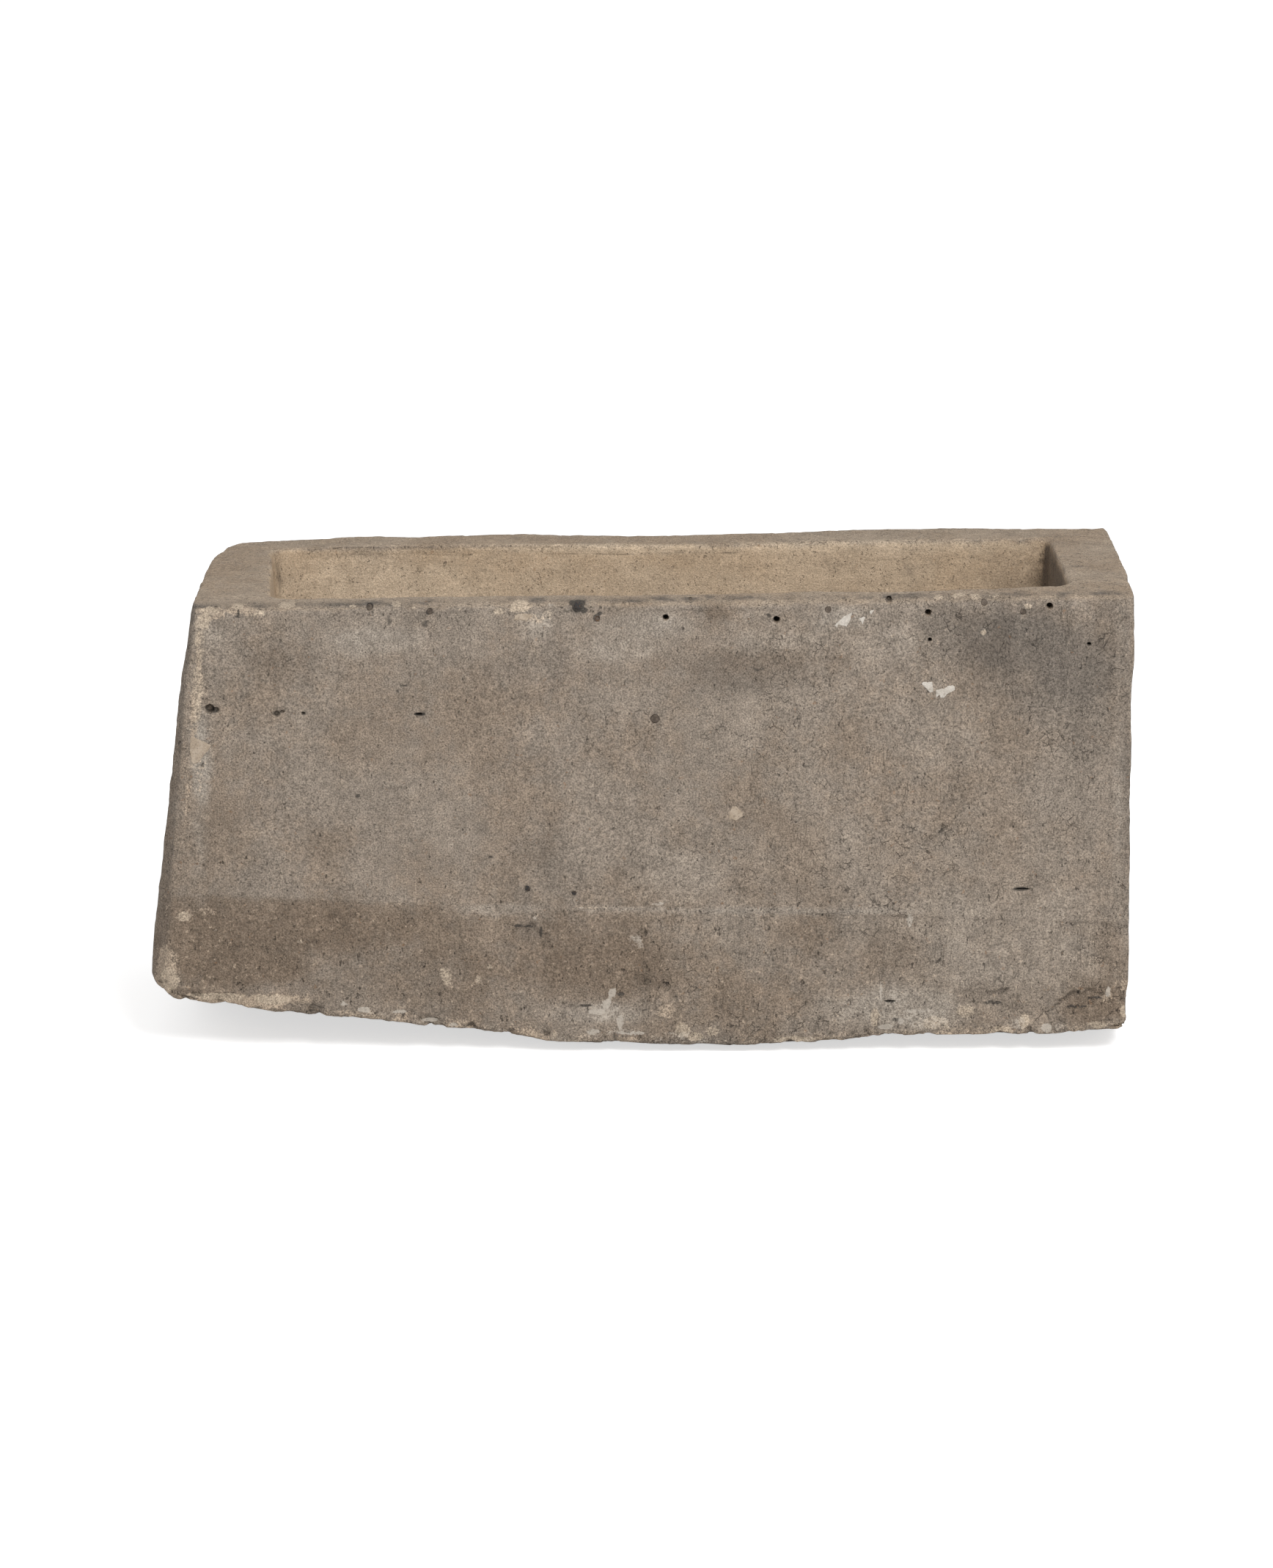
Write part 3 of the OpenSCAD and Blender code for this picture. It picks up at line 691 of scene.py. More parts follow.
def stone_paint(stone):
    """Sandy weathered stone, whose stains come from the mesh's own attributes."""
    paint = Paint("weathered_stone", 0.93, level=0.25)
    fields = stone_fields(paint)
    # Fresh stone in the basin, and painted top light on the rim's upward faces.
    inside = paint.kept("fresh")

    def laid(tint, stains):
        for shade, name, field, *bounds in stains:
            tint = paint.stained(tint, getattr(stone, shade), name, fields[field], *bounds)
        return tint

    tint = laid(stone_ground(paint, stone, fields, inside), FIRST_STAINS)
    crumbs = paint.between(fields["dapple"], 0.61, 0.70, 0.0, 0.55)
    tint = paint.mix(paint.times(crumbs, paint.kept("crumbs")), tint, stone.buff)
    tint = laid(tint, DARK_STAINS)
    tint = laid(paint.scaled(tint, stone_shade(paint, fields, inside)), LAST_STAINS)
    for field, shade, low, high in SPECKS:
        amount = paint.between(fields[field], low, high, 0.0, SPECKS_MOST)
        tint = paint.mix(amount, tint, getattr(stone, shade))
    height = paint.times(fields["grit"], 0.75)
    for name, amount in LIFTS:
        height = paint.plus(height, fields[name], amount)
    return paint.finish(tint, height, 0.0014, 1.0)


# The block


class Skin:
    """The block's vertices in millimetres, and how much each belongs to each side."""

    def __init__(self, points, normals):
        self.points = points
        self.x, self.y, self.z = x, y, z = points.T
        nx, ny, nz = normals.T
        turned = 0.3, 0.85
        near = 10
        inside = (x > OPEN_X[0] - near) & (x < OPEN_X[1] + near) & (z > FLOOR_Z - near)
        inside &= (y > OPEN_Y[0] - near) & (y < OPEN_Y[1] + near)
        self.drop = below_rim(x, z)
        self.rim = eased(nz, *turned) * (self.drop < 60)
        basin = inside * (1 - self.rim)
        outside = 1 - np.maximum(basin, self.rim)
        self.front = outside * eased(-ny, *turned) * (y < -150)
        self.back = outside * eased(ny, *turned) * (y > 150)
        self.left = outside * eased(-nx, *turned) * (x < -450)
        self.right = outside * eased(nx, *turned) * (x > 500)
        self.under = outside * eased(-nz, *turned)
        self.floor = basin * eased(nz, *turned)
        self.end_wall = basin * eased(np.abs(nx), *turned)
        self.side_wall = basin * eased(np.abs(ny), *turned)
        self.ledge = reading(x, LEDGE)
        self.foot = reading(x, FOOT)
        self.band = self.front * eased(z, self.ledge + 1, self.ledge - 1)
        self.plain = self.front - self.band
        self.from_left = from_left_end(x, z)
        # Nothing is moved next to the outlet, where the waste is let into the stone
        self.free = eased(np.hypot(x - OUTLET[0], y - OUTLET[1]), 50, 80)


def below_rim(x, z):
    """Distance below the sloping rim."""
    return RIM_Z + RIM_SLOPE * x - z


def from_left_end(x, z):
    """Distance from the left end face, which leans."""
    return x - LEFT_X - np.maximum(z - LEAN_FOOT_Z, 0) * LEFT_LEAN


def spall(skin, ragged, x, z, half_x, half_z, depth, lean):
    """A flake that came off the front: sharp along its top, running out towards its foot."""
    across = (skin.x - x) / half_x
    up = (skin.z - z) / half_z
    away = np.hypot(across, up) + 0.34 * ragged
    slope = np.clip(0.35 + 0.6 * up + lean * across, 0.0, 1.0) ** 1.5
    return -1.5 * depth * slope * eased(away, 1.05, 0.96) * skin.front


def hewn_relief(skin, noise, strength):
    """How far the surface stands out along its normal, which is mostly inwards."""
    layers = [noise(skin.points, size, 2) for size in WAVE_SIZES]
    relief = np.zeros(len(skin.points))
    for side, *heights in WAVES:
        wave = sum(height * (layer - 0.5) for height, layer in zip(heights, layers))
        relief += getattr(skin, side) * wave
    cosine, sine = math.cos(STROKE_SLANT), math.sin(STROKE_SLANT)
    slanted = [skin.x * cosine + skin.z * sine, skin.y, skin.z * cosine - skin.x * sine]
    struck = noise(np.stack(slanted, axis=1), STROKE_WIDTH, 2, STROKE_STRETCH)
    for side, depth in STROKES:
        relief -= depth * eased(struck, 0.0, 0.7) * getattr(skin, side)
    return relief * strength


def tool_marks(skin, noise):
    """Grooves of the chisel inside the basin and the open beds of the stone on the rim."""
    chased = noise(skin.points, 11, 2, (1.0, 1.0, 7.0))
    combed = noise(skin.points, 9, 2, (14.0, 1.0, 1.0))
    marks = -0.9 * eased(chased, 0.1, 0.8) * skin.end_wall
    marks -= 0.45 * eased(combed, 0.1, 0.8) * skin.side_wall
    wander = 4 * noise(skin.points, 40, 2)
    opened = eased(noise(skin.points, 34, 2, (1.5, 1.0, 1.0)), -0.2, 0.35) * skin.rim
    for reach, slope, middle, width, beds in BEDS:
        across = skin.y + wander + slope * (skin.x - middle)
        end = eased(skin.x, *reach) * opened
        for y, depth in beds:
            marks -= depth * bell(across - y, width) * end
    return marks


def face_marks(skin, noise):
    """The front face: its ledge, the worn lines under the rim and the spalls."""
    x, z = skin.x, skin.z
    flush = eased(x, 60, 240)
    above = skin.front * eased(z, skin.ledge + 1 - 4.5 * flush, skin.ledge + 3)
    fading = eased(z, skin.ledge + 120, skin.ledge + 10)
    marks = above * fading * (2.46 * flush + 1.0 * eased(-x, 260, 380))
    below = skin.drop + 1.4 * noise(skin.points, 30, 2)
    broken = eased(noise(skin.points, 26, 2), -0.35, 0.25)
    reach = eased(x, -410, -370) * eased(x, 330, 230)
    for share, (depth, drop, width) in zip((broken, 1 - broken), RIM_LINES):
        marks -= depth * bell(below - drop, width) * share * reach
    ragged = noise(skin.points, 22, 3)
    for flake in SPALLS:
        marks += spall(skin, ragged, *flake)
    return marks


def drafted_arris(skin, noise):
    """The low ridge beside the narrow face along the left arris."""
    beside = skin.from_left - reading(skin.z, DRAFT) - 6
    ridge = 0.9 * bell(beside, 4.5) * skin.front * eased(skin.z, 190, 240)
    moves = np.zeros_like(skin.points)
    moves[:, BACKWARD] = -ridge * eased(noise(skin.points, 50), -0.6, 0.2)
    return moves


def within(skin, bands):
    """1 where every band is whole, 0 where one hasn't started."""
    share = 1.0
    for name, start, end in bands:
        share = share * eased(getattr(skin, name), start, end)
    return share


def worn_outline(skin):
    """Moves of the rim's edges and corners and of the block's ends."""
    moves = np.zeros_like(skin.points)
    for axis, amount, *bands in PUSHES:
        moves[:, axis] += amount * within(skin, bands)
    for axis, name, table, *bands in SHIFTS:
        moves[:, axis] += reading(getattr(skin, name), table) * within(skin, bands)
    for x, width, depth in LOW_PLACES:
        moves[:, UP] -= depth * bell(skin.x - x, width) * skin.rim
    return moves


def broken_foot(skin, noise):
    """Moves of the foot's broken edge and the lower corners."""
    moves = np.zeros_like(skin.points)
    edge = eased(skin.z, skin.foot + 20, skin.foot + 2) * eased(skin.y, -188, -212)
    bite = eased(noise(skin.points, 27, 3), 0.0, 0.75)
    moves[:, BACKWARD] += 5.0 * bite * edge
    moves[:, UP] += (3.0 * bite - 1.6 + noise(skin.points, 60)) * edge
    bite = eased(noise(skin.points, 15, 3), -0.3, 0.5)
    moves[:, ALONG] -= (1.5 + 5.0 * bite) * within(skin, LOWER_RIGHT)
    centre_x, centre_z, radius = LOWER_LEFT
    across, up = skin.x - centre_x, skin.z - centre_z
    away = np.hypot(across, up)
    pull = np.clip(away - radius, 0, 30) * eased(-across, 0, 8) * eased(-up, 0, 8)
    moves[:, ALONG] -= across / np.maximum(away, 1) * pull
    moves[:, UP] -= up / np.maximum(away, 1) * pull
    return moves


def fill_holes(work):
    """Closes the drilled holes with pegs, so that the block's grid doesn't tear there."""
    spots = [(x, z, half) for x, z, half, *_ in PLUGGED + STUBS]
    spots += [(x, z, max(half_x, half_z)) for x, z, half_x, half_z, _ in DRILLED]
    long, widest, wider = 40.0, 8.0, 1.2
    turned = Matrix.Rotation(QUARTER_TURN, 4, "X")
    for x, z, half in spots:
        if half > widest:
            continue
        middle = Matrix.Translation(Vector((x, FACE_Y + long / 2 - 0.01, z)) * MM)
        radius = (half + wider) * MM
        bmesh.ops.create_cone(
            work, cap_ends=True, segments=24, radius1=radius, radius2=radius, depth=long * MM,
            matrix=middle @ turned,
        )


def refine(mesh, spots, margin):
    """Finer faces round places on the front, given as (x, z, half width, half height)."""
    x, y, z = coordinates(mesh).T
    near = np.zeros(len(x), dtype=bool)
    for px, pz, half_x, half_z in spots:
        away = np.hypot((x - px) / (half_x + margin), (z - pz) / (half_z + margin))
        near |= (y < -195) & (away < 1)
    work = bmesh.new()
    work.from_mesh(mesh)
    work.verts.ensure_lookup_table()
    chosen = {edge for place in np.flatnonzero(near) for edge in work.verts[place].link_edges}
    bmesh.ops.subdivide_edges(work, edges=list(chosen), cuts=2, use_grid_fill=True)
    work.to_mesh(mesh)
    work.free()


def drill(points, noise):
    """Presses the old holes into the front, each with a crumbled mouth."""
    x, y, z = points.T
    sunk = np.zeros(len(points))
    ragged = 1 + 0.16 * noise(points, 4.5, 2)
    in_front = y < -200
    for px, pz, half_x, half_z, depth in DRILLED:
        away = np.hypot((x - px) / half_x, (z - pz) / half_z) * ragged
        sunk = np.maximum(sunk, depth * eased(away, 1.12, 0.72) * in_front)
        sunk = np.maximum(sunk, 0.5 * eased(away, 1.6, 1.0) * in_front)
    for px, pz, half, depth in PLUGGED:
        away = np.hypot(x - px, z - pz) / half * ragged
        sunk = np.maximum(sunk, (depth + 1.6) * eased(away, 1.15, 0.9) * in_front)
    moved = points.copy()
    moved[:, BACKWARD] += sunk
    return moved


# How ragged a stain's outline is, and where its edge starts and is whole
SOFT_EDGE, SPOT_EDGE, SCAB_EDGE = (0.22, 1.35, 0.45), (0.4, 1.25, 0.6), (0.5, 1.3, 0.7)


def blots(points, noise, table, edge=SOFT_EDGE):
    """The strongest of some soft-edged stains at each point: (x, y, z, reaches, strength)."""
    ragged, start, whole = edge
    wander = 1 + ragged * noise(points, 24, 3)
    field = np.zeros(len(points))
    for x, y, z, reach_x, reach_y, reach_z, strength in table:
        away = np.sqrt(
            ((points[:, 0] - x) / reach_x) ** 2
            + ((points[:, 1] - y) / reach_y) ** 2
            + ((points[:, 2] - z) / reach_z) ** 2
        )
        field = np.maximum(field, strength * eased(away * wander, start, whole))
    return field


# Where the stains of the front face have their middle, and how far they reach into it
BLOT_Y, BLOT_REACH = -222, 30


def face_blots(*rows):
    """Stains on the front face: (x, z, reach along, reach up, strength)."""
    return [
        (x, BLOT_Y, z, along, BLOT_REACH, up, strength)
        for x, z, along, up, strength in rows
    ]


SOOT_AND_SHADE = face_blots(
    (425, 478, 105, 46, 0.62), (490, 456, 66, 60, 0.62), (508, 392, 46, 66, 0.36),
    (345, 500, 46, 28, 0.42), (455, 425, 56, 50, 0.4), (400, 445, 60, 40, 0.35),
    (470, 330, 26, 60, 0.2), (440, 330, 90, 90, 0.13), (530, 500, 30, 30, 0.3),
    (-394, 451, 66, 24, 0.24), (-125, 449, 70, 22, 0.3), (122, 447, 110, 30, 0.33),
    (-69, 521, 14, 10, 0.4), (-127, 194, 8, 7, 0.2), (-74, 189, 9, 8, 0.25),
    (-127, 184, 9, 14, 0.3), (-74, 180, 8, 11, 0.26), (-304, 520, 9, 7, 0.2),
    (-238, 515, 9, 8, 0.2), (30, 508, 7, 7, 0.1), (155, 506, 8, 8, 0.1), (282, 527, 8, 7, 0.08),
    (463, 521, 8, 8, 0.12), (-486, 403, 10, 9, 0.12), (18, 391, 9, 9, 0.16),
    (-125, 145, 16, 20, 0.38), (-330, 521, 90, 4, 0.2), (400, 524, 120, 8, 0.2),
    # The thin line at (-20, 177) just above the ledge is partly dirt and partly painted shade along
    # its step.
    (-115, 236, 55, 28, 0.24), (-88, 226, 26, 22, 0.2), (-20, 177, 80, 3, 0.2),
    # The long strips at x 551 and 552 are painted shade along the rounded right edge.
    (478, 305, 10, 18, 0.25), (60, 12, 130, 7, 0.5), (552, 300, 5, 200, 0.42),
    (551, 470, 6, 60, 0.42), (-420, 140, 60, 30, 0.16),
)
# Small dark marks with a hard edge, at the holes and the iron; inside the open drilled holes they
# are painted shade as well as dirt
SPOTS_AND_SHADE = face_blots(
    (-69, 521, 7, 7, 0.95), (-62, 516, 4, 4, 0.7), (-76, 524, 4, 3, 0.6), (-48, 508, 4, 4, 0.75),
    (-44, 513, 4, 3, 0.5), (-127, 194, 3.2, 3.2, 0.75), (-74, 189, 3, 3, 0.7),
    (-304, 520, 4, 4, 0.85), (-282, 505, 4, 7, 0.42), (-238, 514, 4, 4, 0.5),
    (-241, 502, 5, 5, 0.45), (-248, 509, 4, 4, 0.35), (30, 508, 3, 3, 0.7), (58, 526, 3, 3, 0.6),
    (155, 506, 3.2, 3.2, 0.75), (146, 511, 3, 3, 0.5), (213, 517, 3, 3, 0.5),
    (282, 527, 3, 2.6, 0.7), (326, 514, 3, 3, 0.7), (463, 521, 3, 3, 0.7), (389, 525, 4, 4, 0.5),
    (433, 515, 4, 4, 0.5), (-481, 402, 5, 4, 0.45), (-410, 398, 5, 4, 0.34),
    (-380, 398, 3, 3, 0.36), (-249, 397, 8, 2.5, 0.7), (-268, 430, 10, 2, 0.5),
    (-273, 424, 2, 6, 0.5), (18, 391, 5, 4, 0.5), (328, 483, 3, 3, 0.7), (508, 478, 3, 3, 0.7),
    (437, 194, 9, 2.2, 0.85), (287, 62, 7, 2.2, 0.8), (-452, 512, 2, 8, 0.6),
    (-140, 414, 3, 5, 0.4), (136, 449, 7, 2, 0.45), (-320, 302, 3, 3, 0.5),
    (404, 60, 12, 2, 0.6), (500, 56, 16, 2.4, 0.6), (522, 66, 10, 2, 0.55),
    # The short dark lines at (-138, 151), (-126, 150) and (-112, 143) follow the top edge of the
    # spall there: painted shade under its step.
    (300, 40, 12, 2, 0.6), (-171, 231, 6, 1.6, 0.6), (-138, 151, 5, 1.6, 0.55),
    (-126, 150, 6, 1.6, 0.65), (-112, 143, 2, 7, 0.5), (440, 378, 3, 5, 0.45),
    (-60, 57, 10, 2, 0.5), (-22, 70, 6, 2.5, 0.5), (5, 52, 8, 2, 0.5),
)
BROWN = face_blots(
    (-406, 150, 180, 36, 0.5), (-497, 128, 42, 42, 0.75), (-447, 103, 75, 24, 0.62),
    (-43, 103, 100, 46, 0.62), (-60, 150, 70, 26, 0.4), (288, 119, 46, 26, 0.45),
    (197, 153, 34, 30, 0.3), (519, 60, 40, 28, 0.7), (536, 128, 22, 32, 0.45),
    (130, 60, 60, 40, 0.3), (-230, 90, 90, 40, 0.24), (122, 452, 90, 26, 0.3),
    (-400, 455, 70, 26, 0.24), (-545, 250, 14, 90, 0.35), (400, 60, 70, 30, 0.25),
    (-373, 273, 60, 40, 0.12), (-290, 240, 40, 60, 0.14), (90, 515, 26, 12, 0.5),
)
PALE_AND_HIGHLIGHT = face_blots(
    (-298, 481, 60, 20, 0.42), (-26, 474, 60, 20, 0.42), (7, 500, 60, 18, 0.45),
    (232, 506, 46, 16, 0.45), (-120, 500, 26, 18, 0.42), (-490, 490, 26, 22, 0.3),
    (150, 480, 90, 16, 0.3), (270, 480, 60, 24, 0.25), (40, 211, 60, 40, 0.3),
    (-497, 345, 13, 66, 0.7), (-501, 240, 10, 70, 0.4), (-300, 330, 70, 60, 0.1),
    (300, 52, 90, 34, 0.55), (400, 130, 170, 90, 0.26), (450, 250, 90, 90, 0.14),
    # The thin pale lines at (-160, 170), (180, 168) and (-2, 170) run along the top of the ledge: a
    # painted highlight.
    (-160, 170, 60, 8, 0.4), (545, 300, 7, 170, 0.35), (180, 168, 200, 6, 0.4),
    (180, 210, 120, 60, 0.12), (410, 330, 90, 90, 0.08), (-40, 48, 70, 14, 0.4),
    (545, 480, 12, 60, 0.3), (389, 492, 8, 6, 0.5), (-2, 170, 90, 4, 0.4),
)
BUFF = face_blots(
    (-541, 90, 15, 24, 0.8), (-450, 62, 72, 9, 0.75), (-482, 514, 24, 12, 0.5),
    (-450, 517, 30, 9, 0.5), (-397, 522, 16, 6, 0.55), (-131, 524, 13, 8, 0.95),
    (-120, 507, 16, 10, 0.45), (-498, 330, 9, 40, 0.42), (-505, 380, 6, 30, 0.4),
    (-540, 180, 5, 26, 0.4), (-495, 168, 20, 8, 0.38), (-275, 180, 12, 10, 0.36),
    (410, 25, 30, 9, 0.5), (556, 78, 8, 10, 0.7), (536, 66, 8, 14, 0.45),
    (550, 30, 12, 10, 0.55), (340, 38, 40, 12, 0.36), (30, 50, 14, 12, 0.5),
    (120, 42, 20, 10, 0.3), (-498, 356, 14, 16, 0.5), (-497, 450, 5, 60, 0.46),
    (-504, 390, 5, 60, 0.5), (-514, 300, 5, 70, 0.42), (-541, 100, 13, 30, 0.9),
    (-536, 112, 10, 20, 0.5), (-420, 64, 60, 8, 0.6), (110, 281, 9, 10, 0.45),
    (-118, 160, 14, 6, 0.36), (-60, 172, 40, 4, 0.36), (190, 150, 8, 10, 0.3),
    (-352, 310, 5, 5, 0.4), (300, 90, 26, 14, 0.3),
)
LIME = face_blots(
    (-5, 133, 12, 14, 0.36), (-40, 50, 26, 16, 0.42), (-20, 26, 30, 6, 0.42),
    (-300, 47, 40, 8, 0.36), (44, 22, 24, 8, 0.4), (435, 36, 10, 14, 0.42),
    (330, 40, 50, 16, 0.42), (290, 60, 14, 24, 0.36), (480, 30, 12, 8, 0.42),
    (-70, 274, 6, 5, 0.45), (-116, 253, 3, 3, 0.4), (260, 46, 12, 10, 0.3),
    (-112, 500, 9, 5, 0.35), (-100, 522, 4, 3, 0.5), (-225, 524, 6, 4, 0.42),
    (-170, 524, 5, 3, 0.4), (-330, 182, 5, 4, 0.3), (556, 66, 5, 8, 0.3), (550, 36, 8, 5, 0.4),
    (-493, 320, 5, 5, 0.32),
)
# Small pale scabs with a hard edge: buff ones, and the whiter ones along the foot
BUFF_SCABS = face_blots(
    (-483, 515, 12, 4, 0.6), (-454, 519, 9, 4, 0.6), (-429, 513, 6, 4, 0.5),
    (-396, 521, 10, 4, 0.7), (-324, 520, 6, 2, 0.5), (-274, 522, 6, 3, 0.6),
    (-253, 519, 4, 2, 0.5), (-202, 517, 4, 2, 0.5), (-159, 515, 7, 4, 0.5),
    (-134, 521, 11, 6, 0.8), (-104, 511, 6, 5, 0.4), (438, 520, 4, 3, 0.5),
    (388, 492, 4, 4, 0.65), (-496, 480, 6, 36, 0.42), (-500, 416, 7, 46, 0.46),
    (-490, 504, 6, 10, 0.6), (-537, 87, 9, 16, 0.85), (-490, 67, 36, 4, 0.8),
    (-414, 64, 22, 6, 0.85), (50, 28, 10, 9, 0.7), (65, 20, 9, 6, 0.8), (182, 16, 25, 4, 0.65),
    (270, 41, 7, 13, 0.55), (339, 38, 14, 9, 0.5), (372, 50, 12, 9, 0.5), (441, 38, 6, 9, 0.6),
    (416, 28, 10, 4, 0.6), (526, 34, 10, 4, 0.6), (555, 50, 4, 7, 0.6), (-518, 163, 9, 7, 0.55),
    (-220, 92, 7, 9, 0.55), (-183, 88, 7, 6, 0.5), (43, 175, 3, 3, 0.6), (-103, 145, 3, 3, 0.5),
    (-172, 102, 6, 4, 0.5), (-387, 133, 6, 4, 0.45), (352, 34, 4, 7, 0.5), (-96, 24, 3, 6, 0.6),
    (83, 26, 7, 7, 0.6), (338, 530, 9, 3, 0.46), (360, 532, 10, 3, 0.5), (379, 530, 8, 3, 0.42),
    (402, 532, 12, 3, 0.46),
)
LIME_SCABS = face_blots(
    (-338, 59, 4, 3, 0.7), (-315, 52, 9, 4, 0.85), (-275, 50, 9, 3, 0.7), (-239, 39, 10, 3, 0.7),
    (-213, 34, 7, 3, 0.5), (-48, 50, 13, 4, 0.6), (-38, 58, 6, 6, 0.6), (-30, 73, 4, 5, 0.8),
    (-8, 24, 16, 2, 0.85), (-51, 26, 9, 3, 0.6), (-22, 38, 4, 9, 0.55), (-5, 135, 7, 5, 0.44),
    (2, 127, 4, 4, 0.38), (277, 69, 2, 19, 0.5), (281, 31, 9, 4, 0.7), (318, 50, 20, 4, 0.5),
    (467, 31, 7, 5, 0.7), (537, 73, 3, 7, 0.6), (309, 160, 3, 13, 0.5), (300, 38, 4, 5, 0.6),
    (-118, 160, 5, 4, 0.45), (-66, 172, 5, 2, 0.5), (20, 176, 8, 2, 0.45),
)
RUST = face_blots(
    (-351, 311, 3, 3, 0.5), (-286, 310, 3, 3, 0.5), (-276, 190, 4, 32, 0.34),
    (-276, 340, 4, 10, 0.36), (-47, 507, 4, 4, 0.6), (30, 508, 6, 5, 0.4),
    (155, 500, 6, 9, 0.36), (-486, 396, 8, 6, 0.3), (18, 391, 6, 5, 0.3), (-66, 516, 6, 6, 0.3),
    (-495, 240, 20, 60, 0.14), (-372, 262, 40, 40, 0.16), (-215, 272, 60, 40, 0.12),
    (280, 118, 20, 14, 0.24), (470, 270, 4, 40, 0.2), (-238, 512, 7, 7, 0.3),
)
# On the rim and in the basin: x, y, z, three reaches and a strength
BASIN_SOOT = [
    (322, 136, 490, 7, 12, 24, 0.3), (-158, 132, 520, 10, 12, 5, 0.2),
    (226, 132, 504, 12, 12, 6, 0.18), (300, -20, 150, 60, 60, 6, 0.3),
    (-420, -170, 160, 60, 40, 20, 0.2), (470, -160, 160, 60, 50, 20, 0.3),
    (30, 205, 538, 520, 18, 8, 0.12), (-424, 134, 487, 3, 10, 3, 0.6),
]
BASIN_BROWN = [
    (-158, 136, 520, 26, 14, 8, 0.4), (77, 134, 512, 40, 14, 7, 0.25),
    (226, 134, 503, 24, 14, 9, 0.25), (450, 138, 480, 60, 12, 60, 0.3),
    (-300, 136, 500, 50, 14, 14, 0.25), (330, 136, 500, 30, 14, 30, 0.12),
    (30, 0, 150, 460, 160, 8, 0.35), (0, -175, 300, 460, 14, 160, 0.3),
]
BASIN_PALE = [
    (-300, 138, 470, 160, 22, 50, 0.6), (-60, 136, 522, 240, 16, 8, 0.5),
    (300, 136, 526, 200, 16, 8, 0.4), (0, 138, 470, 200, 20, 40, 0.35),
    (-420, 0, 480, 16, 120, 60, 0.3), (495, 205, 536, 40, 12, 8, 0.4),
]
# The ends, the back and the underside, which the photograph doesn't show
FAR_SOOT = [
    (-520, 60, 430, 40, 130, 90, 0.4), (560, 60, 470, 20, 140, 70, 0.45),
    (-200, 222, 440, 220, 20, 80, 0.4), (260, 222, 470, 200, 20, 60, 0.45),
    (60, 222, 300, 120, 20, 120, 0.25), (0, 0, 0, 560, 225, 12, 0.4),
]
FAR_BROWN = [
    (0, 222, 60, 560, 26, 90, 0.6), (-555, 0, 100, 24, 220, 80, 0.6),
    (558, 0, 70, 24, 220, 80, 0.6), (0, 0, 0, 560, 225, 20, 0.5),
]
FAR_BUFF = [
    (-300, 222, 180, 90, 14, 50, 0.33), (180, 222, 120, 120, 14, 40, 0.33),
    (420, 222, 300, 60, 14, 80, 0.3), (-545, 120, 200, 14, 60, 40, 0.42),
    (560, -60, 150, 10, 60, 30, 0.42), (-60, 222, 500, 60, 14, 14, 0.36),
]


def keep(mesh, name, values):
    attribute = mesh.attributes.new(name, "FLOAT", "POINT")
    attribute.data.foreach_set("value", values.astype(np.float32))


# How much smoothing a vertex takes in one round when the even shape is looked for
EVENING = 0.7


class Face:
    """Where the finished block's vertices lie, in millimetres, and what they belong to."""

    def __init__(self, mesh):
        self.points = coordinates(mesh)
        self.x, self.y, self.z = x, y, z = self.points.T
        normals = directions(mesh)
        self.leftward, self.upward = -normals[:, 0], normals[:, 2]
        self.drop = below_rim(x, z)
        self.front = eased(y, -196, -208) * eased(-normals[:, 1], -0.2, 0.4)
        self.nose = eased(y, -192, -202)
        basin = eased(x, OPEN_X[0] - 22, OPEN_X[0] - 6) * eased(x, OPEN_X[1] + 22, OPEN_X[1] + 6)
        basin *= eased(y, OPEN_Y[0] - 8, OPEN_Y[0] + 2) * eased(y, OPEN_Y[1] + 20, OPEN_Y[1] + 8)
        self.basin = basin * (z > FLOOR_Z - 12)
        # The basin's right end wall, turned away from the key lamp, gets painted shade through the
        # soot and brown stains.
        self.shaded_end_wall = eased(self.leftward, 0.6, 0.9) * self.basin * (x > 440)
        self.shaded_end_wall *= eased(self.drop, 2, 12)
        ledge = reading(x, LEDGE)
        self.band = eased(z, ledge + 3, ledge - 3) * self.front
        self.crumbling = eased(z - reading(x, FOOT), 26, 4) * self.front


def edge_lines_and_painted_shade(face, noise):
    """Painted shade in the two worn grooves where the rim turns into the front, along the block's
    end edges and on the faces turned left at the left arris, with a darker strip along the rim's
    front edge.
    """
    points, x, y, drop = face.points, face.x, face.y, face.drop
    wander = 1.6 * noise(points, 30, 2)
    broken = eased(noise(points, 21, 3), -0.5, 0.2)
    ragged = 1.6 * noise(points, 9, 2) + 1.5 * noise(points, 90, 2)
    faded = eased(noise(points, 60, 2), -0.55, 0.25)
    # The lip and the second line lie in the worn grooves under the rim: painted shade in them.
    lip = bell(drop - 4 + wander + ragged, 2.2) * (0.15 + 0.85 * broken * faded) * (y < -198)
    lip *= 1 - 0.65 * bell(x - 372, 48)
    second = bell(drop - 13 + wander, 2.2) * (1 - 0.6 * broken) * face.front * eased(x, 300, 200)
    under_lip = eased(drop, 22, 14) * eased(y, -192, -203) * (0.5 + 0.8 * noise(points, 34, 2))
    strip = eased(drop, 8, 2) * (y < -175) * (y > -216)
    lines = 0.62 * lip + 0.25 * second + 0.05 * np.clip(under_lip, 0, 1) + 0.14 * strip
    # Painted shade along the rounded end edges of the front.
    ends = bell(x - RIGHT_X - 0.5, 5) * eased(face.z, 470, 420)
    ends += 0.4 * bell(from_left_end(x, face.z), 7)
    lines += 0.5 * ends * (y < -214) * eased(noise(points, 40, 2), -0.6, 0.1)
    # Faces turned to the left at the left arris are darker: painted shade on the side away from the
    # key lamp.
    return lines + 0.30 * eased(face.leftward, 0.25, 0.6) * (y < -185) * (x < -480)


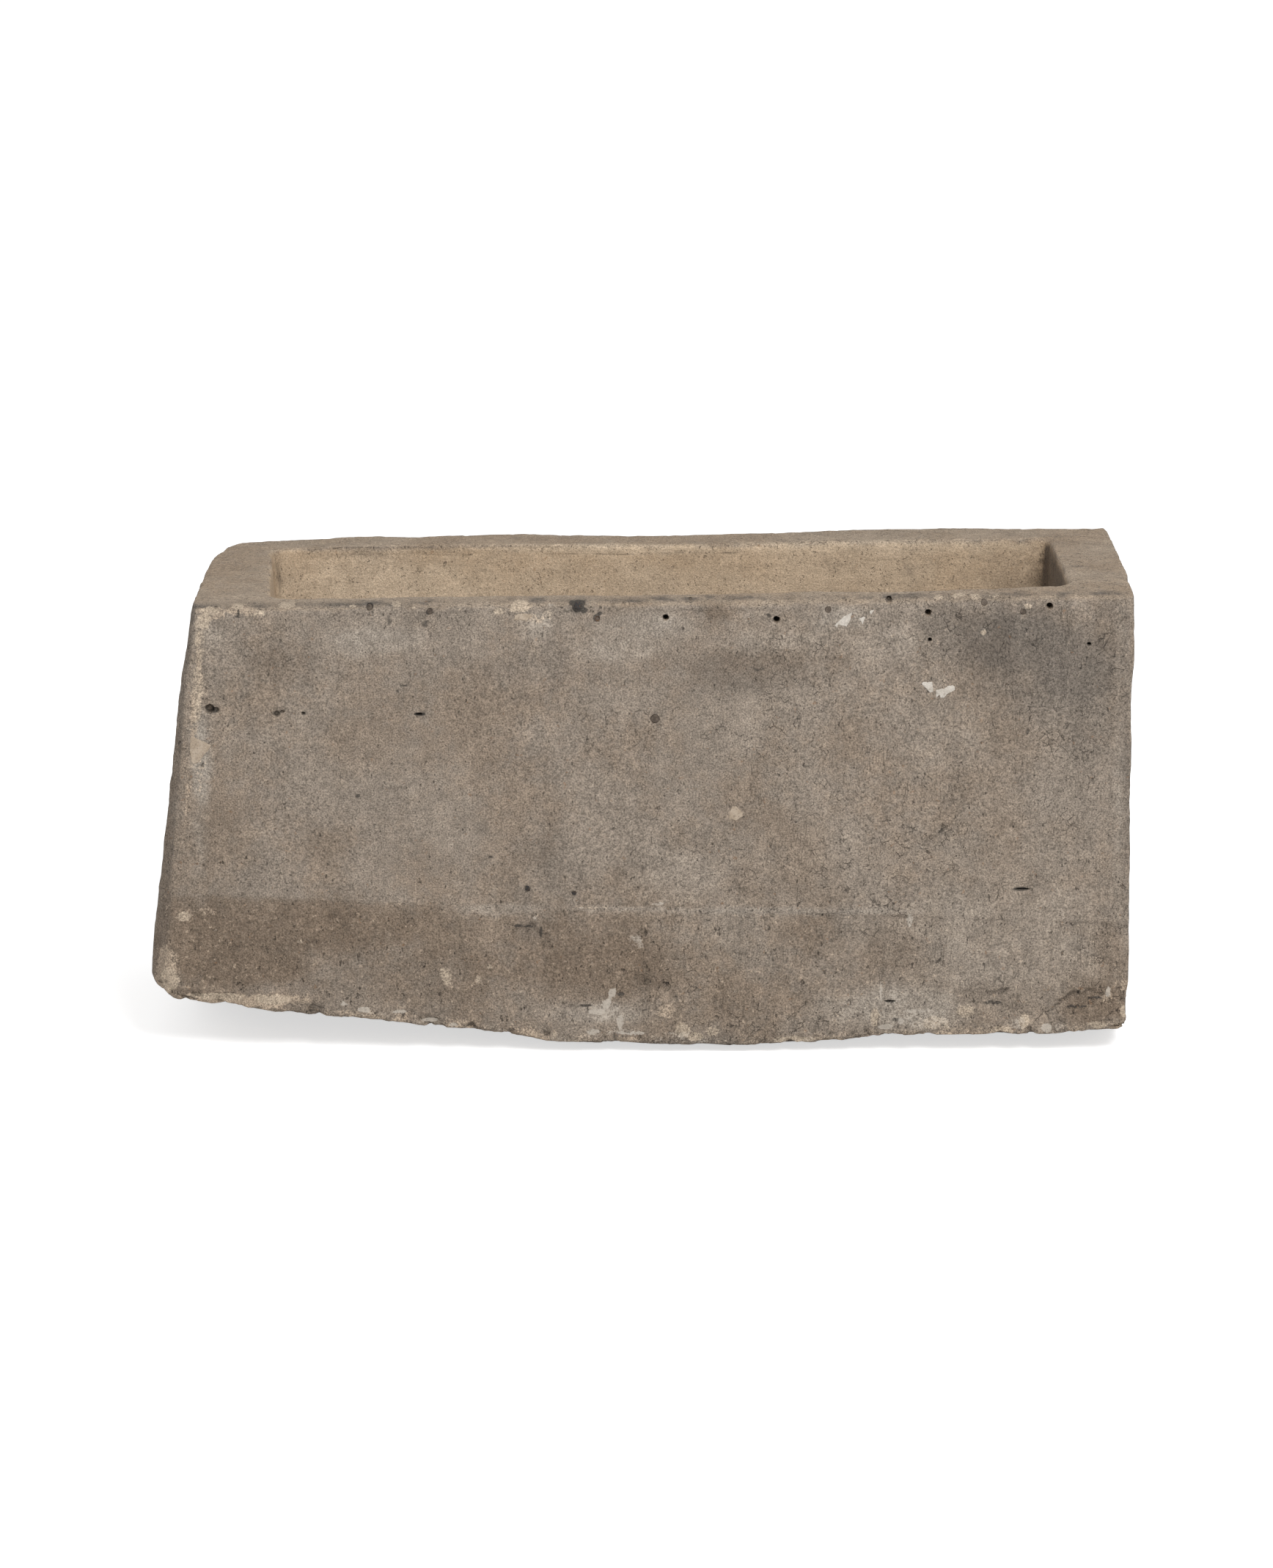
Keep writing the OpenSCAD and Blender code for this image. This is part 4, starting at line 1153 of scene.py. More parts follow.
def stain(mesh, noise):
    """Writes where the stains and residues of the finished block lie."""
    face = Face(mesh)
    points, x, front = face.points, face.x, face.front
    broad = 0.10 * eased(face.drop, 60, 4) * front + 0.08 * noise(points, 200, 3)
    # Soot, with painted shade from the edge lines and on the basin's right end wall.
    soot_and_shade = blots(points, noise, SOOT_AND_SHADE) * front + blots(points, noise, BASIN_SOOT + FAR_SOOT)
    soot_and_shade += edge_lines_and_painted_shade(face, noise) + 0.42 * face.shaded_end_wall
    keep(mesh, "soot_and_shade", np.clip(soot_and_shade + broad, 0, 1))
    brown = blots(points, noise, BROWN) + blots(points, noise, BASIN_BROWN + FAR_BROWN)
    damp = 0.10 + 0.16 * eased(x, 0, -300) + 0.10 * noise(points, 60, 3)
    # Besides the earth and damp stains, the brown stain paints shade on the basin's right end wall.
    keep(mesh, "brown", np.clip(brown + 0.75 * face.shaded_end_wall + damp * face.band, 0, 1))
    patchy = noise(points, 30, 2)
    buff = blots(points, noise, BUFF) * face.nose + blots(points, noise, FAR_BUFF)
    keep(mesh, "buff", np.maximum(buff, face.crumbling * (0.36 + 0.22 * patchy)))
    lime = face.crumbling * (0.26 - 0.22 * patchy) * eased(x, -420, -250)
    keep(mesh, "lime", np.maximum(blots(points, noise, LIME) * front, lime))
    keep(mesh, "bleached", blots(points, noise, BASIN_PALE))
    rows = (
        ("pale", PALE_AND_HIGHLIGHT, SOFT_EDGE, front), ("rust", RUST, SOFT_EDGE, front),
        ("spots", SPOTS_AND_SHADE, SPOT_EDGE, front), ("buff_scabs", BUFF_SCABS, SCAB_EDGE, face.nose),
        ("lime_scabs", LIME_SCABS, SCAB_EDGE, front),
    )
    for name, table, edge, side in rows:
        keep(mesh, name, blots(points, noise, table, edge) * side)
    fresh = face.basin * eased(face.drop + 3 * noise(points, 25, 2), 1, 9)
    # The rim's upward faces take some of the fresh colour: painted top light.
    painted_top_light = 0.35 * eased(face.upward, 0.5, 0.9) * (face.drop < 40)
    keep(mesh, "fresh", np.maximum(fresh, painted_top_light))
    keep(mesh, "crazed", (0.45 + 0.55 * eased(x, -150, 150)) * (1 - 0.8 * fresh))
    gritty = eased(x, 220, 330) * eased(face.drop, 130, 60) * front
    crumbs = 0.12 + 0.88 * face.band + 0.3 * eased(x, -440, -500) + 0.4 * (1 - front)
    keep(mesh, "crumbs", crumbs + 0.8 * gritty)


def chips(skin, points, normals, ends, noise):
    """How much is knocked off the block's sharp edges, in irregular bites."""
    even = smoothed(points, ends, 8, np.full(len(points), EVENING))
    sharp = np.clip(np.sum((points - even) * normals, axis=1) / 1.3, 0, 1)
    bites = eased(noise(points, 17, 3), 0.12, 0.75) + 0.6 * eased(noise(points, 7, 2), 0.2, 0.7)
    return (0.3 + 2.2 * bites) * sharp * skin.free


def under_scales(points):
    """1 where a flake or patch has kept the face from wearing, 0 away from them."""
    kept = np.zeros(len(points))
    for x, z, wide, _ in FLAKES + PATCHES:
        away = np.hypot(points[:, 0] - x, points[:, 2] - z)
        kept = np.maximum(kept, eased(away, wide, wide * 0.6))
    return kept * (points[:, 1] < -200)


def worn(mesh, noise):
    """Wears the even block's edges down, less at the back of the rim and at the right end."""
    points = coordinates(mesh)
    even = Skin(points, directions(mesh))
    wear = (0.25 + 0.65 * eased(noise(points, 70, 2), -0.5, 0.6)) * even.free
    wear *= 1 - 0.5 * eased(even.drop, 40, 15) * (even.y > 150)
    wear *= 1 - 0.7 * eased(even.x, 520, 545)
    points = smoothed(points, edge_ends(mesh), 14, wear)
    place_vertices(mesh, points)
    return points


def hewn(mesh, points, noise, strength):
    """Gives the worn block its relief, marks, chips and crooked edges."""
    normals = directions(mesh)
    skin = Skin(points, normals)
    relief = hewn_relief(skin, noise, strength) + tool_marks(skin, noise) + face_marks(skin, noise)
    relief *= skin.free * (1 - under_scales(points))
    relief -= chips(skin, points, normals, edge_ends(mesh), noise)
    moves = (worn_outline(skin) + broken_foot(skin, noise)) * skin.free[:, None]
    moves += drafted_arris(skin, noise)
    place_vertices(mesh, points + normals * relief[:, None] + moves)


def hollows(mesh):
    """How far each vertex lies below what is round it, and a tree that finds the vertices."""
    points = coordinates(mesh)
    even = smoothed(points, edge_ends(mesh), 9, np.full(len(points), EVENING))
    tree = KDTree(len(points))
    for place, vert in enumerate(mesh.vertices):
        tree.insert(vert.co, place)
    tree.balance()
    return np.sum((even - points) * directions(mesh), axis=1), tree


def worn_block(stone):
    """The block: a worn, chipped and stained copy of its CAD solid."""
    work = welded_copy("trough_block")
    fill_holes(work)
    piece = with_modifier(
        finished(work, "stone_trough"), "REMESH", mode="VOXEL", voxel_size=stone.voxel
    )
    mesh = piece.data
    noise = Noise(SHAPE_SEED)
    hewn(mesh, worn(mesh, noise), noise, stone.roughness)
    holes = [(x, z, half, half) for x, z, half, *_ in PLUGGED + STUBS]
    holes += [(x, z, half_x, half_x) for x, z, half_x, *_ in DRILLED]
    refine(mesh, holes, 5)
    place_vertices(mesh, drill(coordinates(mesh), noise))
    hollow, tree = hollows(mesh)
    mesh.calc_loop_triangles()
    with_modifier(piece, "DECIMATE", ratio=stone.triangles / len(mesh.loop_triangles))
    mesh = piece.data
    marks = [(x, z, wide, high) for x, _, z, wide, _, high, _ in SPOTS_AND_SHADE + BUFF_SCABS + LIME_SCABS]
    refine(mesh, marks, 4)
    nearest = [tree.find(vert.co)[1] for vert in mesh.vertices]
    low, high = (np.array(corner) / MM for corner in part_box("trough_block"))
    place_vertices(mesh, np.clip(coordinates(mesh), low + 0.01, high - 0.01))
    mesh.shade_smooth()
    stain(mesh, Noise(STAIN_SEED))
    # The hollows' depth, from which the paint lays painted shade in them, less of it at the back.
    behind = eased(coordinates(mesh)[:, BACKWARD], 185, 205)
    keep(mesh, "hollow", hollow[nearest] * (1 - 0.6 * behind))
    mesh.materials.clear()
    mesh.materials.append(stone_paint(stone))
    return placed(piece, "sink", "stone", "trough_block")


class TROUGH_OT_block(bpy.types.Operator):
    """Wear and stain the stone block"""

    bl_idname = "trough.block"
    bl_label = "Stone block"

    def execute(self, context):
        worn_block(context.scene.trough_stone)
        return {"FINISHED"}


# The waste, the plug and the old fixings


def turned(outline, rounding=0.25, steps=96):
    """Spins a closed outline of (radius, height) about the outlet's axis."""
    work = bmesh.new()
    corners = [work.verts.new(Vector((radius, 0, height)) * MM) for radius, height in outline]
    work.faces.new(corners)
    bmesh.ops.bevel(
        work, geom=[corner for corner in corners if corner.co.x > 0], offset=rounding * MM,
        affect="VERTICES", segments=3, profile=0.5, material=-1, clamp_overlap=True,
    )
    bmesh.ops.delete(work, geom=work.faces[:], context="FACES_ONLY")
    on_axis = [edge for edge in work.edges if max(end.co.x for end in edge.verts) < 1e-7]
    bmesh.ops.delete(work, geom=on_axis, context="EDGES")
    bmesh.ops.spin(
        work, geom=work.edges[:] + work.verts[:], axis=Z_AXIS, cent=(0, 0, 0), steps=steps,
        angle=math.tau, use_merge=True,
    )
    return settled(work)


def settled(work):
    """Closes seams and poles and points the faces outwards."""
    bmesh.ops.remove_doubles(work, verts=work.verts, dist=1e-7)
    bmesh.ops.recalc_face_normals(work, faces=work.faces)
    return work


def bent_wire(work, radius, wire, matrix, steps=64, sides=20):
    """Adds a ring of wire about Y, then placed by the matrix."""
    drawn = bmesh.ops.create_circle(work, segments=sides, radius=wire * MM, cap_ends=False)["verts"]
    bmesh.ops.translate(work, verts=drawn, vec=X_AXIS * radius * MM)
    loop = list({edge for vert in drawn for edge in vert.link_edges})
    bmesh.ops.spin(
        work, geom=drawn + loop, axis=Y_AXIS, cent=(0, 0, 0), steps=steps, angle=math.tau,
        use_merge=True,
    )
    made = [vert for vert in work.verts if not vert.tag]
    bmesh.ops.transform(work, matrix=matrix, verts=made)
    for vert in work.verts:
        vert.tag = True


def fitted(work, name, material, body, slot, node, smooth=True):
    """A finished piece with its material, in place of one CAD node."""
    piece = finished(work, name, smooth)
    piece.data.materials.append(material)
    return placed(piece, body, slot, node)


def at_outlet(work):
    bmesh.ops.translate(work, verts=work.verts, vec=Vector((*OUTLET, 0)) * MM)
    return work


def cut_thread(work, pitch):
    """A right-handed thread on the tail, no wider than the plain tail."""
    plain = THREAD_START[0] - 0.4
    for vert in work.verts:
        radius, height = math.hypot(vert.co.x, vert.co.y), vert.co.z
        if radius < plain * MM or not THREAD_LOW * MM < height < THREAD_HIGH * MM:
            continue
        turn = math.atan2(vert.co.y, vert.co.x) / math.tau
        phase = (height / pitch - turn) % 1.0
        sunk = THREAD_DEPTH * MM * min(1.0, 2.6 * abs(phase - 0.5))
        runout = min(1.0, (height / MM - THREAD_LOW) / 2, (THREAD_HIGH - height / MM) / 2)
        vert.co.xy *= 1 - sunk * runout / radius


def thread_rows(outline):
    """An outline with more points where its thread is cut."""
    rows = []
    for radius, height in outline:
        rows.append((radius, height))
        if (radius, height) == THREAD_START:
            count = int((THREAD_HIGH - THREAD_LOW) / THREAD_ROWS)
            rows += [(radius, THREAD_LOW + THREAD_ROWS * step) for step in range(1, count)]
    return rows


def waste(fittings, brass):
    """The flanged waste, its threaded tail and its cross of bars."""
    work = turned(thread_rows(WASTE_OUTLINE), 0.12)
    cut_thread(work, fittings.thread_pitch)
    size = Matrix.Diagonal((*(side * MM for side in BAR_SIZE), 1))
    lifted = Matrix.Translation(Z_AXIS * BAR_HEIGHT * MM)
    for turn in (0, QUARTER_TURN):
        bar = bmesh.ops.create_cube(work, size=1.0)["verts"]
        across = Matrix.Rotation(turn, 4, "Z")
        bmesh.ops.transform(work, matrix=lifted @ across @ size, verts=bar)
        edges = list({edge for vert in bar for edge in vert.link_edges})
        bmesh.ops.bevel(
            work, geom=edges, offset=BAR_ROUNDING * MM, affect="EDGES", segments=3, profile=0.5,
            material=-1,
        )
    fitted(at_outlet(work), "brass_waste", brass, "sink", "brass", "waste_body")


def backnut(brass):
    """A hexagon nut with turned-off corners."""
    work = turned(NUT_OUTLINE, 0.2)
    half = NUT_FLATS / 2 * MM
    sixth = math.tau / 6
    for vert in work.verts:
        radius = math.hypot(vert.co.x, vert.co.y)
        turn = math.atan2(vert.co.y, vert.co.x) % sixth
        flat = half / math.cos(turn - sixth / 2)
        if radius > flat:
            vert.co.xy *= flat / radius
    fitted(at_outlet(work), "hexagon_nut", brass, "sink", "brass", "backnut", smooth=False)


def seals(rubber, plastic):
    """The seal under the flange and the two washers in the pocket."""
    rows = (
        ("flange_gasket", SEAL_OUTLINE, "flange_seal", "rubber", rubber),
        ("rubber_washer", RUBBER_WASHER_OUTLINE, "under_washer", "rubber", rubber),
        ("friction_washer", SLIP_WASHER_OUTLINE, "slip_washer", "washer_plastic", plastic),
    )
    for name, outline, node, slot, material in rows:
        fitted(at_outlet(turned(outline, 0.3)), name, material, "sink", slot, node)


def plug_and_eye(rubber, brass):
    """The rubber plug, and the eye on its collar."""
    work = turned(PLUG_OUTLINE)
    fitted(at_outlet(work), "rubber_plug", rubber, "plug", "rubber", "waste_plug")
    height, radius, wire = EYE
    work = turned(COLLAR_OUTLINE, steps=48)
    for vert in work.verts:
        vert.tag = True
    bent_wire(work, radius, wire, Matrix.Translation(Z_AXIS * height * MM))
    fitted(at_outlet(settled(work)), "brass_eye", brass, "plug", "brass", "plug_eye")


def split(work, lean):
    """Presses a fine cut into the ring's wire, where its two ends meet."""
    radius, wire = RING
    place, width, depth = SPLIT
    for vert in work.verts:
        flat = lean.inverted() @ vert.co
        if flat.x <= radius * MM:
            continue
        bend = math.asin(flat.y / MM / (radius + wire))
        middle = Vector((radius * (1 + math.cos(bend)) * MM, flat.y, 0))
        cut = depth * bell(flat.y / MM - place, width)
        vert.co = vert.co.lerp(lean @ middle, cut)


def split_ring(brass):
    """The ring that hangs in the eye."""
    radius, wire = RING
    work = bmesh.new()
    flat = Matrix.Rotation(QUARTER_TURN, 4, "X")
    out = Matrix.Translation(X_AXIS * radius * MM)
    lean = Matrix.Rotation(RING_LEAN, 4, "Y")
    bent_wire(work, radius, wire, lean @ out @ flat, 128)
    split(work, lean)
    bmesh.ops.translate(work, verts=work.verts, vec=Z_AXIS * EYE[0] * MM)
    fitted(at_outlet(settled(work)), "split_ring", brass, "ring", "brass", "plug_ring")


def brass_paint(fittings):
    """Dulled brass, browner in broad patches, with fine scratches and water spots."""
    paint = Paint("dulled_brass", 0.42, metallic=1.0)
    cloud = paint.noise(70.0, 4.0, 0.6)
    speck = paint.noise(420.0, 3.0, 0.6)
    brushed = paint.noise(1.0, 2.0, 0.5, paint.shifted((1800, 1800, 60)))
    spots = paint.between(paint.cells(130.0, "F1"), 0.16, 0.22, 1.0, 0.0)
    tarnish = paint.between(paint.plus(cloud, speck, 0.4), 0.55, 0.95)
    tint = paint.mix(tarnish, fittings.brass, fittings.tarnish)
    tint = paint.mix(paint.times(spots, 0.35), tint, (0.20, 0.23, 0.17))
    tint = paint.scaled(tint, paint.between(speck, 0.3, 0.7, 0.86, 1.1))
    rough = paint.plus(paint.between(cloud, 0.35, 0.7, 0.3, 0.55), spots, 0.12)
    height = paint.plus(paint.times(brushed, 0.35), speck, 0.6)
    return paint.finish(tint, height, 0.00016, 0.8, rough)


def rubber_paint(fittings):
    """Old black rubber with a grey bloom and fine wear."""
    paint = Paint("old_rubber", 0.62, level=0.4)
    cloud = paint.noise(85.0, 4.0, 0.6)
    grain = paint.noise(900.0, 3.0, 0.6)
    bloom = paint.between(paint.plus(cloud, grain, 0.35), 0.55, 0.9)
    tint = paint.mix(paint.times(bloom, 0.7), fittings.rubber, (0.125, 0.118, 0.108))
    rough = paint.between(cloud, 0.3, 0.7, 0.5, 0.78)
    return paint.finish(tint, paint.plus(grain, cloud, 0.8), 0.0001, 0.7, rough)


def plastic_paint(fittings):
    """A pale moulded washer, yellowed and scuffed."""
    paint = Paint("washer_plastic", 0.45, level=0.5)
    cloud = paint.noise(60.0, 3.0, 0.6)
    scuff = paint.between(paint.noise(500.0, 2.0, 0.6), 0.56, 0.66)
    tint = paint.mix(paint.between(cloud, 0.35, 0.7), fittings.plastic, (0.50, 0.45, 0.35))
    tint = paint.mix(paint.times(scuff, 0.4), tint, (0.34, 0.31, 0.27))
    rough = paint.between(cloud, 0.3, 0.7, 0.4, 0.6)
    return paint.finish(tint, paint.noise(700.0), 0.00008, 0.5, rough)


def iron_paint(fittings):
    """Black rust scale, browner on its high spots."""
    paint = Paint("rusted_iron", 0.88, level=0.3)
    scale = paint.noise(450.0, 4.0, 0.65)
    cloud = paint.noise(160.0, 3.0, 0.6)
    tint = paint.mix(paint.between(scale, 0.5, 0.68), fittings.iron, (0.10, 0.055, 0.03))
    tint = paint.mix(paint.between(cloud, 0.55, 0.7, 0.0, 0.6), tint, (0.060, 0.056, 0.052))
    return paint.finish(tint, scale, 0.0006, 0.9)


# Chalky lumps: two colours, that of the dirt caught in them, and the scale of its specks
LUMPS = {
    "hole_filling": ((0.072, 0.056, 0.044), (0.135, 0.108, 0.086), (0.02, 0.016, 0.013), 380.0),
    "lime_scale": ((0.54, 0.495, 0.44), (0.46, 0.415, 0.36), (0.30, 0.26, 0.22), 260.0),
    "old_mortar": ((0.41, 0.335, 0.26), (0.345, 0.275, 0.205), (0.21, 0.165, 0.125), 300.0),
}


def lump_paint(name):
    """Lime, mortar or filler: chalky and grained, with dirt caught in it."""
    base, other, dirt, speck_scale = LUMPS[name]
    paint = Paint(name, 0.95, level=0.2)
    grain = paint.noise(650.0, 3.0, 0.6)
    cloud = paint.noise(120.0, 4.0, 0.6)
    tint = paint.mix(paint.between(cloud, 0.38, 0.62), base, other)
    pits = paint.between(paint.noise(speck_scale, 2.0, 0.6), 0.56, 0.66)
    tint = paint.mix(paint.times(pits, 0.6), tint, dirt)
    tint = paint.scaled(tint, paint.between(grain, 0.28, 0.72, 0.84, 1.12))
    return paint.finish(tint, paint.plus(grain, cloud, 1.2), 0.0006, 0.9)


def surface(ground, x, z):
    """How far back the worn front lies at a place, in millimetres."""
    hit = ground.ray_cast(Vector((x, FRONT_Y - 30, z)) * MM, Y_AXIS)[0]
    return min(hit.y / MM, FACE_Y + 12) if hit else FACE_Y


def crumble(work, ground, noise):
    """Roughens the plugs' ends and keeps them level with the worn stone round them."""
    points = np.array([vert.co for vert in work.verts]) / MM
    for vert, (x, y, z), lift in zip(work.verts, points, 0.32 * noise(points, 1.6, 2)):
        hole_x, hole_z, half, _ = min(PLUGGED, key=lambda row: math.hypot(x - row[0], z - row[1]))
        away = math.hypot(x - hole_x, z - hole_z) / half
        if away < 0.99:
            y += lift + 0.05 + 0.4 * away**2
        level = surface(ground, hole_x + 0.7 * (x - hole_x), hole_z + 0.7 * (z - hole_z))
        vert.co.y = max(y, level - 1.4 + lift) * MM


def hole_fillings(ground, noise):
    """Crumbling ends of the plugs, each a little below the mouth of its hole."""
    work = bmesh.new()
    turn = Matrix.Rotation(QUARTER_TURN, 4, "X")
    long = 8.0
    for x, z, half, depth in PLUGGED:
        where = Matrix.Translation(Vector((x, FACE_Y + depth + long / 2, z)) * MM)
        radius = (half - 0.05) * MM
        made = bmesh.ops.create_cone(
            work, cap_ends=True, segments=28, radius1=radius, radius2=radius, depth=long * MM,
            matrix=where @ turn,
        )["verts"]
        caps = [face for face in work.faces if len(face.verts) > 4 and face.verts[0] in made]
        for size in (0.22, 0.3, 0.4):
            caps = [face for face in caps if face.is_valid]
            bmesh.ops.inset_region(work, faces=caps, thickness=radius * size, depth=0.0)
    crumble(work, ground, noise)
    paint = lump_paint("hole_filling")
    fitted(settled(work), "hole_fillings", paint, "sink", "plug_filler", "hole_plugs")


def iron_crusts(fittings, ground, noise):
    """Scabs of rust on the broken stubs."""
    work = bmesh.new()
    for x, z, half, proud in STUBS:
        made = bmesh.ops.create_icosphere(work, subdivisions=5, radius=1.0)["verts"]
        points = np.array([vert.co for vert in made])
        lumps = 1 + 0.30 * noise(points * 4 + x, 2.6, 3) - 0.1
        for vert, lump in zip(made, lumps):
            spread = 1.32 * half * lump
            vert.co *= Vector((spread, (proud + 0.8) * lump, spread))
            vert.co += Vector((x, 0.8, z))
            vert.co.y = max(vert.co.y + surface(ground, vert.co.x, vert.co.z), FRONT_Y + 0.2)
            vert.co *= MM
    paint = iron_paint(fittings)
    fitted(settled(work), "iron_crusts", paint, "sink", "rusted_iron", "iron_stubs")


def inward_distance(points, corners):
    """How far points in a plane lie inside an outline: less than 0 outside it."""
    starts = np.array(corners)
    ends = np.roll(starts, -1, axis=0)
    along = ends - starts
    offset = points[:, None, :] - starts[None]
    part = np.clip((offset * along).sum(2) / (along**2).sum(1), 0, 1)
    nearest = np.linalg.norm(offset - part[..., None] * along, axis=2).min(1)
    above = (starts[None, :, 1] > points[:, None, 1]) != (ends[None, :, 1] > points[:, None, 1])
    rise = np.where(along[:, 1] == 0, 1e-9, along[:, 1])
    crossing = starts[None, :, 0] + (points[:, None, 1] - starts[None, :, 1]) / rise * along[:, 0]
    inside = (above & (points[:, None, 0] < crossing)).sum(1) % 2 == 1
    return np.where(inside, nearest, -nearest)


# Thin pieces on the face: name, outlines, thickness, material, slot and CAD node
SCALES = (
    ("lime_scales", FLAKES, 0.8, "lime_scale", "lime", "lime_flakes"),
    ("mortar_remains", PATCHES, 1.0, "old_mortar", "mortar", "mortar_patches"),
)
# Distance between the vertices of a thin piece
SCALE_STEP = 0.55


def ragged_sheet(work, row, thick, ground, noise):
    """Adds a thin ragged sheet that lies on the front of the block."""
    middle_x, middle_z, wide, outline = row
    corners = [(middle_x + wide * across, middle_z + wide * up) for across, up in outline]
    half = wide * 0.85
    count = int(2 * half / SCALE_STEP)
    turn = Matrix.Rotation(QUARTER_TURN, 4, "X")
    where = Matrix.Translation(Vector((middle_x, FACE_Y, middle_z)) * MM)
    made = bmesh.ops.create_grid(
        work, x_segments=count, y_segments=count, size=half * MM, matrix=where @ turn
    )["verts"]
    points = np.array([vert.co for vert in made]) / MM
    inward = inward_distance(points[:, ::2], corners) + 0.55 * noise(points, 3.2, 3)
    swell = 0.62 + 0.34 * noise(points, 5.0, 2) + 0.12 * noise(points, 1.5)
    lifts = thick * np.clip(swell, 0.12, 1.0) * eased(inward, -0.3, 0.9)
    for vert, (x, _, z), lift in zip(made, points, lifts):
        vert.co.y = max(surface(ground, x, z) - lift, FACE_Y - thick) * MM
    outside = [vert for vert, depth in zip(made, inward) if depth < -0.2]
    bmesh.ops.delete(work, geom=outside, context="VERTS")


def face_scales(ground, noise):
    """The lime flakes and the mortar patches."""
    for name, rows, thick, material, slot, node in SCALES:
        work = bmesh.new()
        for row in rows:
            ragged_sheet(work, row, thick, ground, noise)
        back = bmesh.ops.extrude_face_region(work, geom=work.faces[:])["geom"]
        sunk = [item for item in back if isinstance(item, bmesh.types.BMVert)]
        bmesh.ops.translate(work, verts=sunk, vec=Y_AXIS * 0.9 * MM)
        fitted(settled(work), name, lump_paint(material), "sink", slot, node)


class TROUGH_OT_waste(bpy.types.Operator):
    """Make the waste, its nut and washers, the plug and its ring"""

    bl_idname = "trough.waste"
    bl_label = "Waste and plug"

    def execute(self, context):
        fittings = context.scene.trough_fittings
        brass = brass_paint(fittings)
        rubber = rubber_paint(fittings)
        waste(fittings, brass)
        backnut(brass)
        seals(rubber, plastic_paint(fittings))
        plug_and_eye(rubber, brass)
        split_ring(brass)
        return {"FINISHED"}


class TROUGH_OT_fixings(bpy.types.Operator):
    """Make the hole fillings, rusted stubs, lime flakes and mortar patches"""

    bl_idname = "trough.fixings"
    bl_label = "Old fixings"

    def execute(self, context):
        noise = Noise(FIXING_SEED)
        block = bpy.data.objects["stone_trough"]
        ground = BVHTree.FromObject(block, context.evaluated_depsgraph_get())
        hole_fillings(ground, noise)
        iron_crusts(context.scene.trough_fittings, ground, noise)
        face_scales(ground, noise)
        return {"FINISHED"}


# Camera, floor and light

FLOOR_HALF = 40.0
FLOOR_TINT = (0.8, 0.8, 0.8, 1)
FLOOR_GLOW = 0.62
# Lamps: place, width
KEY_LAMP = ((1.4, -3.6, 3.6), 2.2)
FILL_LAMP = ((-3.4, -2.6, 1.8), 2.4)
LAMP_AIM = (0.0, 0.0, 0.25)


def studio_floor():
    """A pale floor that shows white to the camera except in shadow."""
    work = bmesh.new()
    bmesh.ops.create_grid(work, x_segments=2, y_segments=2, size=FLOOR_HALF)
    floor = finished(work, "studio_floor", smooth=False)
    material = bpy.data.materials.new("studio_floor")
    shader = Shader(material)
    diffuse = shader.add("ShaderNodeBsdfDiffuse", {"Color": FLOOR_TINT})
    glow = shader.add("ShaderNodeEmission", {"Strength": shader.times(shader.direct(), FLOOR_GLOW)})
    both = shader.add("ShaderNodeAddShader", {0: diffuse.outputs[0], 1: glow.outputs[0]})
    shader.add("ShaderNodeOutputMaterial", {"Surface": both.outputs[0]})
    floor.data.materials.append(material)


def studio_sky(strength):
    """Even light from all round, white where it is seen."""
    world = bpy.data.worlds.new("studio_sky")
    bpy.context.scene.world = world
    shader = Shader(world)
    feeds = {"Value": shader.direct(), "To Min": strength, "To Max": 1.0}
    shown = shader.add("ShaderNodeMapRange", feeds).outputs["Result"]
    sky = shader.add("ShaderNodeBackground", {"Color": (1, 1, 1, 1), "Strength": shown})
    shader.add("ShaderNodeOutputWorld", {"Surface": sky.outputs[0]})


def studio_lamp(name, place, size, power):
    lamp = bpy.data.objects.new(name, bpy.data.lights.new(name, "AREA"))
    bpy.context.scene.collection.objects.link(lamp)
    lamp.data.shape = "DISK"
    lamp.data.size = size
    lamp.data.energy = power
    lamp.location = place
    lamp.rotation_euler = (Vector(LAMP_AIM) - Vector(place)).to_track_quat("-Z", "Y").to_euler()


